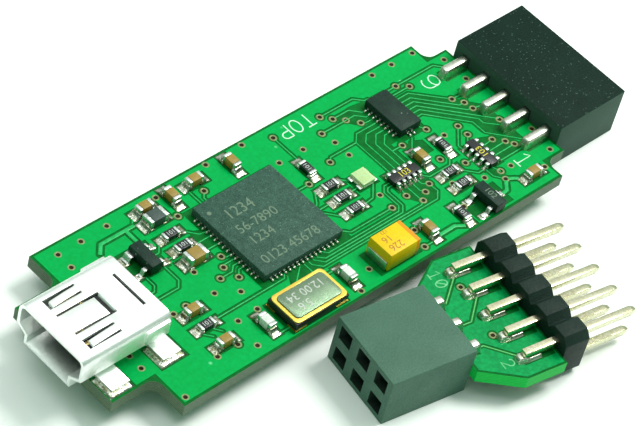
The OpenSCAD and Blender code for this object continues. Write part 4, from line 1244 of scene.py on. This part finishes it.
def adapter_cuts():
    cuts = trace_channels(ADAPTER_TRACES)
    cuts += [round_outline(x, y, VIA_CLEAR) for x, y in ADAPTER_VIAS]
    return cuts + lead_lands(PLUG_LANDS, LEAD_Y) + lead_lands(SOCKET_LANDS, LEAD_Y[1:4])


add_piece("adapter_pour", copper_sheet(ADAPTER_OUTLINE, adapter_cuts(), on_adapter, RELIEF),
          adapter_mask, "adapter", "board_laminate")
lay_traces("adapter_traces", ADAPTER_TRACES, on_adapter, RELIEF, adapter_trace, "adapter",
           ADAPTER_VIAS)
drill_vias("adapter_vias", ADAPTER_VIAS, on_adapter, "adapter")
faint_ink = mottled("faint_ink", paint(128, 208, 150), paint(90, 184, 120), 800, 5000, 0.005, 0.5,
                    Specular_IOR_Level=0.15)
write_strokes("adapter_number_far", "10", (11.3, 5.0), 1.1, -90, on_adapter, "adapter",
              faint_ink)
write_strokes("adapter_number_near", "2", (11.4, -5.0), 1.1, -90, on_adapter, "adapter",
              faint_ink)


# ---- adapter socket ----
# A grey plastic block, moulded with six cells whose mouths are funnels. Each cell holds a
# sprung contact, and the contacts' leads straddle the board's edge in their solder.
# Painted light: the green tint in this grey plastic's tones stands in for the green cast of the
# light on dark things
grey_plastic = mottled("grey_socket", paint(76, 112, 94), paint(60, 94, 78), 500, 6000, 0.04,
                       0.5, rough_spread=0.1, Specular_IOR_Level=0.25)
# Painted shade: a darker material stands in for the shade deep in the socket's cells and funnels
painted_cell_shade = mottled("painted_cell_shade", paint(26, 42, 35), paint(14, 24, 20), 500, 6000, 0.02, 0.6,
                     Specular_IOR_Level=0.1)
# The cells together reach this far from the socket's axis, and stop this short of its skin
CELLS_HALF_WIDTH = 3.6
CELLS_HALF_HEIGHT = 2.3
SKIN = 0.1


def paint_shade_in_cells(shape):
    """Paints shade on the insides of the cells and their funnels, by giving their faces the darker
    painted-shade material.
    """
    back = Matrix.Rotation(-ADAPTER_TURN, 4, "Z")
    mouth = on_adapter(0, 0)
    for face in shape.faces:
        deep, aside, above = (back @ (face.calc_center_median() - mouth)) / MM
        among = abs(aside) < CELLS_HALF_WIDTH and abs(above + ADAPTER_TOP) < CELLS_HALF_HEIGHT
        if among and SKIN < deep < SOCKET_DEPTH - SKIN:
            face.material_index = 1


softened("adapter_socket_housing", 0.08, [grey_plastic, painted_cell_shade], "grey_plastic", 3,
         paint_shade_in_cells)
for node in ("adapter_contacts_upper", "adapter_contacts_lower"):
    softened(node, 0.06, tin_finish, "plated_contact")
add_piece("adapter_socket_fillets",
          solder_row(LEAD_Y[1:4], on_adapter, 10.1, 8.55, 0.56, 1.06, 1.04, 0.3), lead_tin,
          "adapter", "solder", "adapter_socket_solder")

# ---- adapter plug ----
# Two rows of square brass pins, plated pale gold and pressed through a notched block of
# black plastic. Their short ends straddle the board's edge in their solder.
# Painted light: the green tint in this black plastic's tones stands in for the green cast of the
# light on dark things
plug_plastic = mottled("plug_plastic", paint(28, 50, 42), paint(16, 32, 28), 500, 6000, 0.04,
                       0.5, rough_spread=0.1, Specular_IOR_Level=0.2)
pin_finish = mottled("pin_gold", paint(228, 228, 200), paint(190, 184, 146), 700, 4000, 0.01,
                     0.18, 1.0, rough_spread=0.1)
softened("adapter_plug_block", 0.06, plug_plastic, "black_plastic")
for node in ("adapter_pins_upper", "adapter_pins_lower"):
    softened(node, 0.02, pin_finish, "gold_pin")
add_piece("adapter_plug_fillets",
          solder_row(LEAD_Y, on_adapter, 12.05, 14.5, 0.56, 0.84, 0.25, 0.34), lead_tin,
          "adapter", "solder", "adapter_plug_solder")
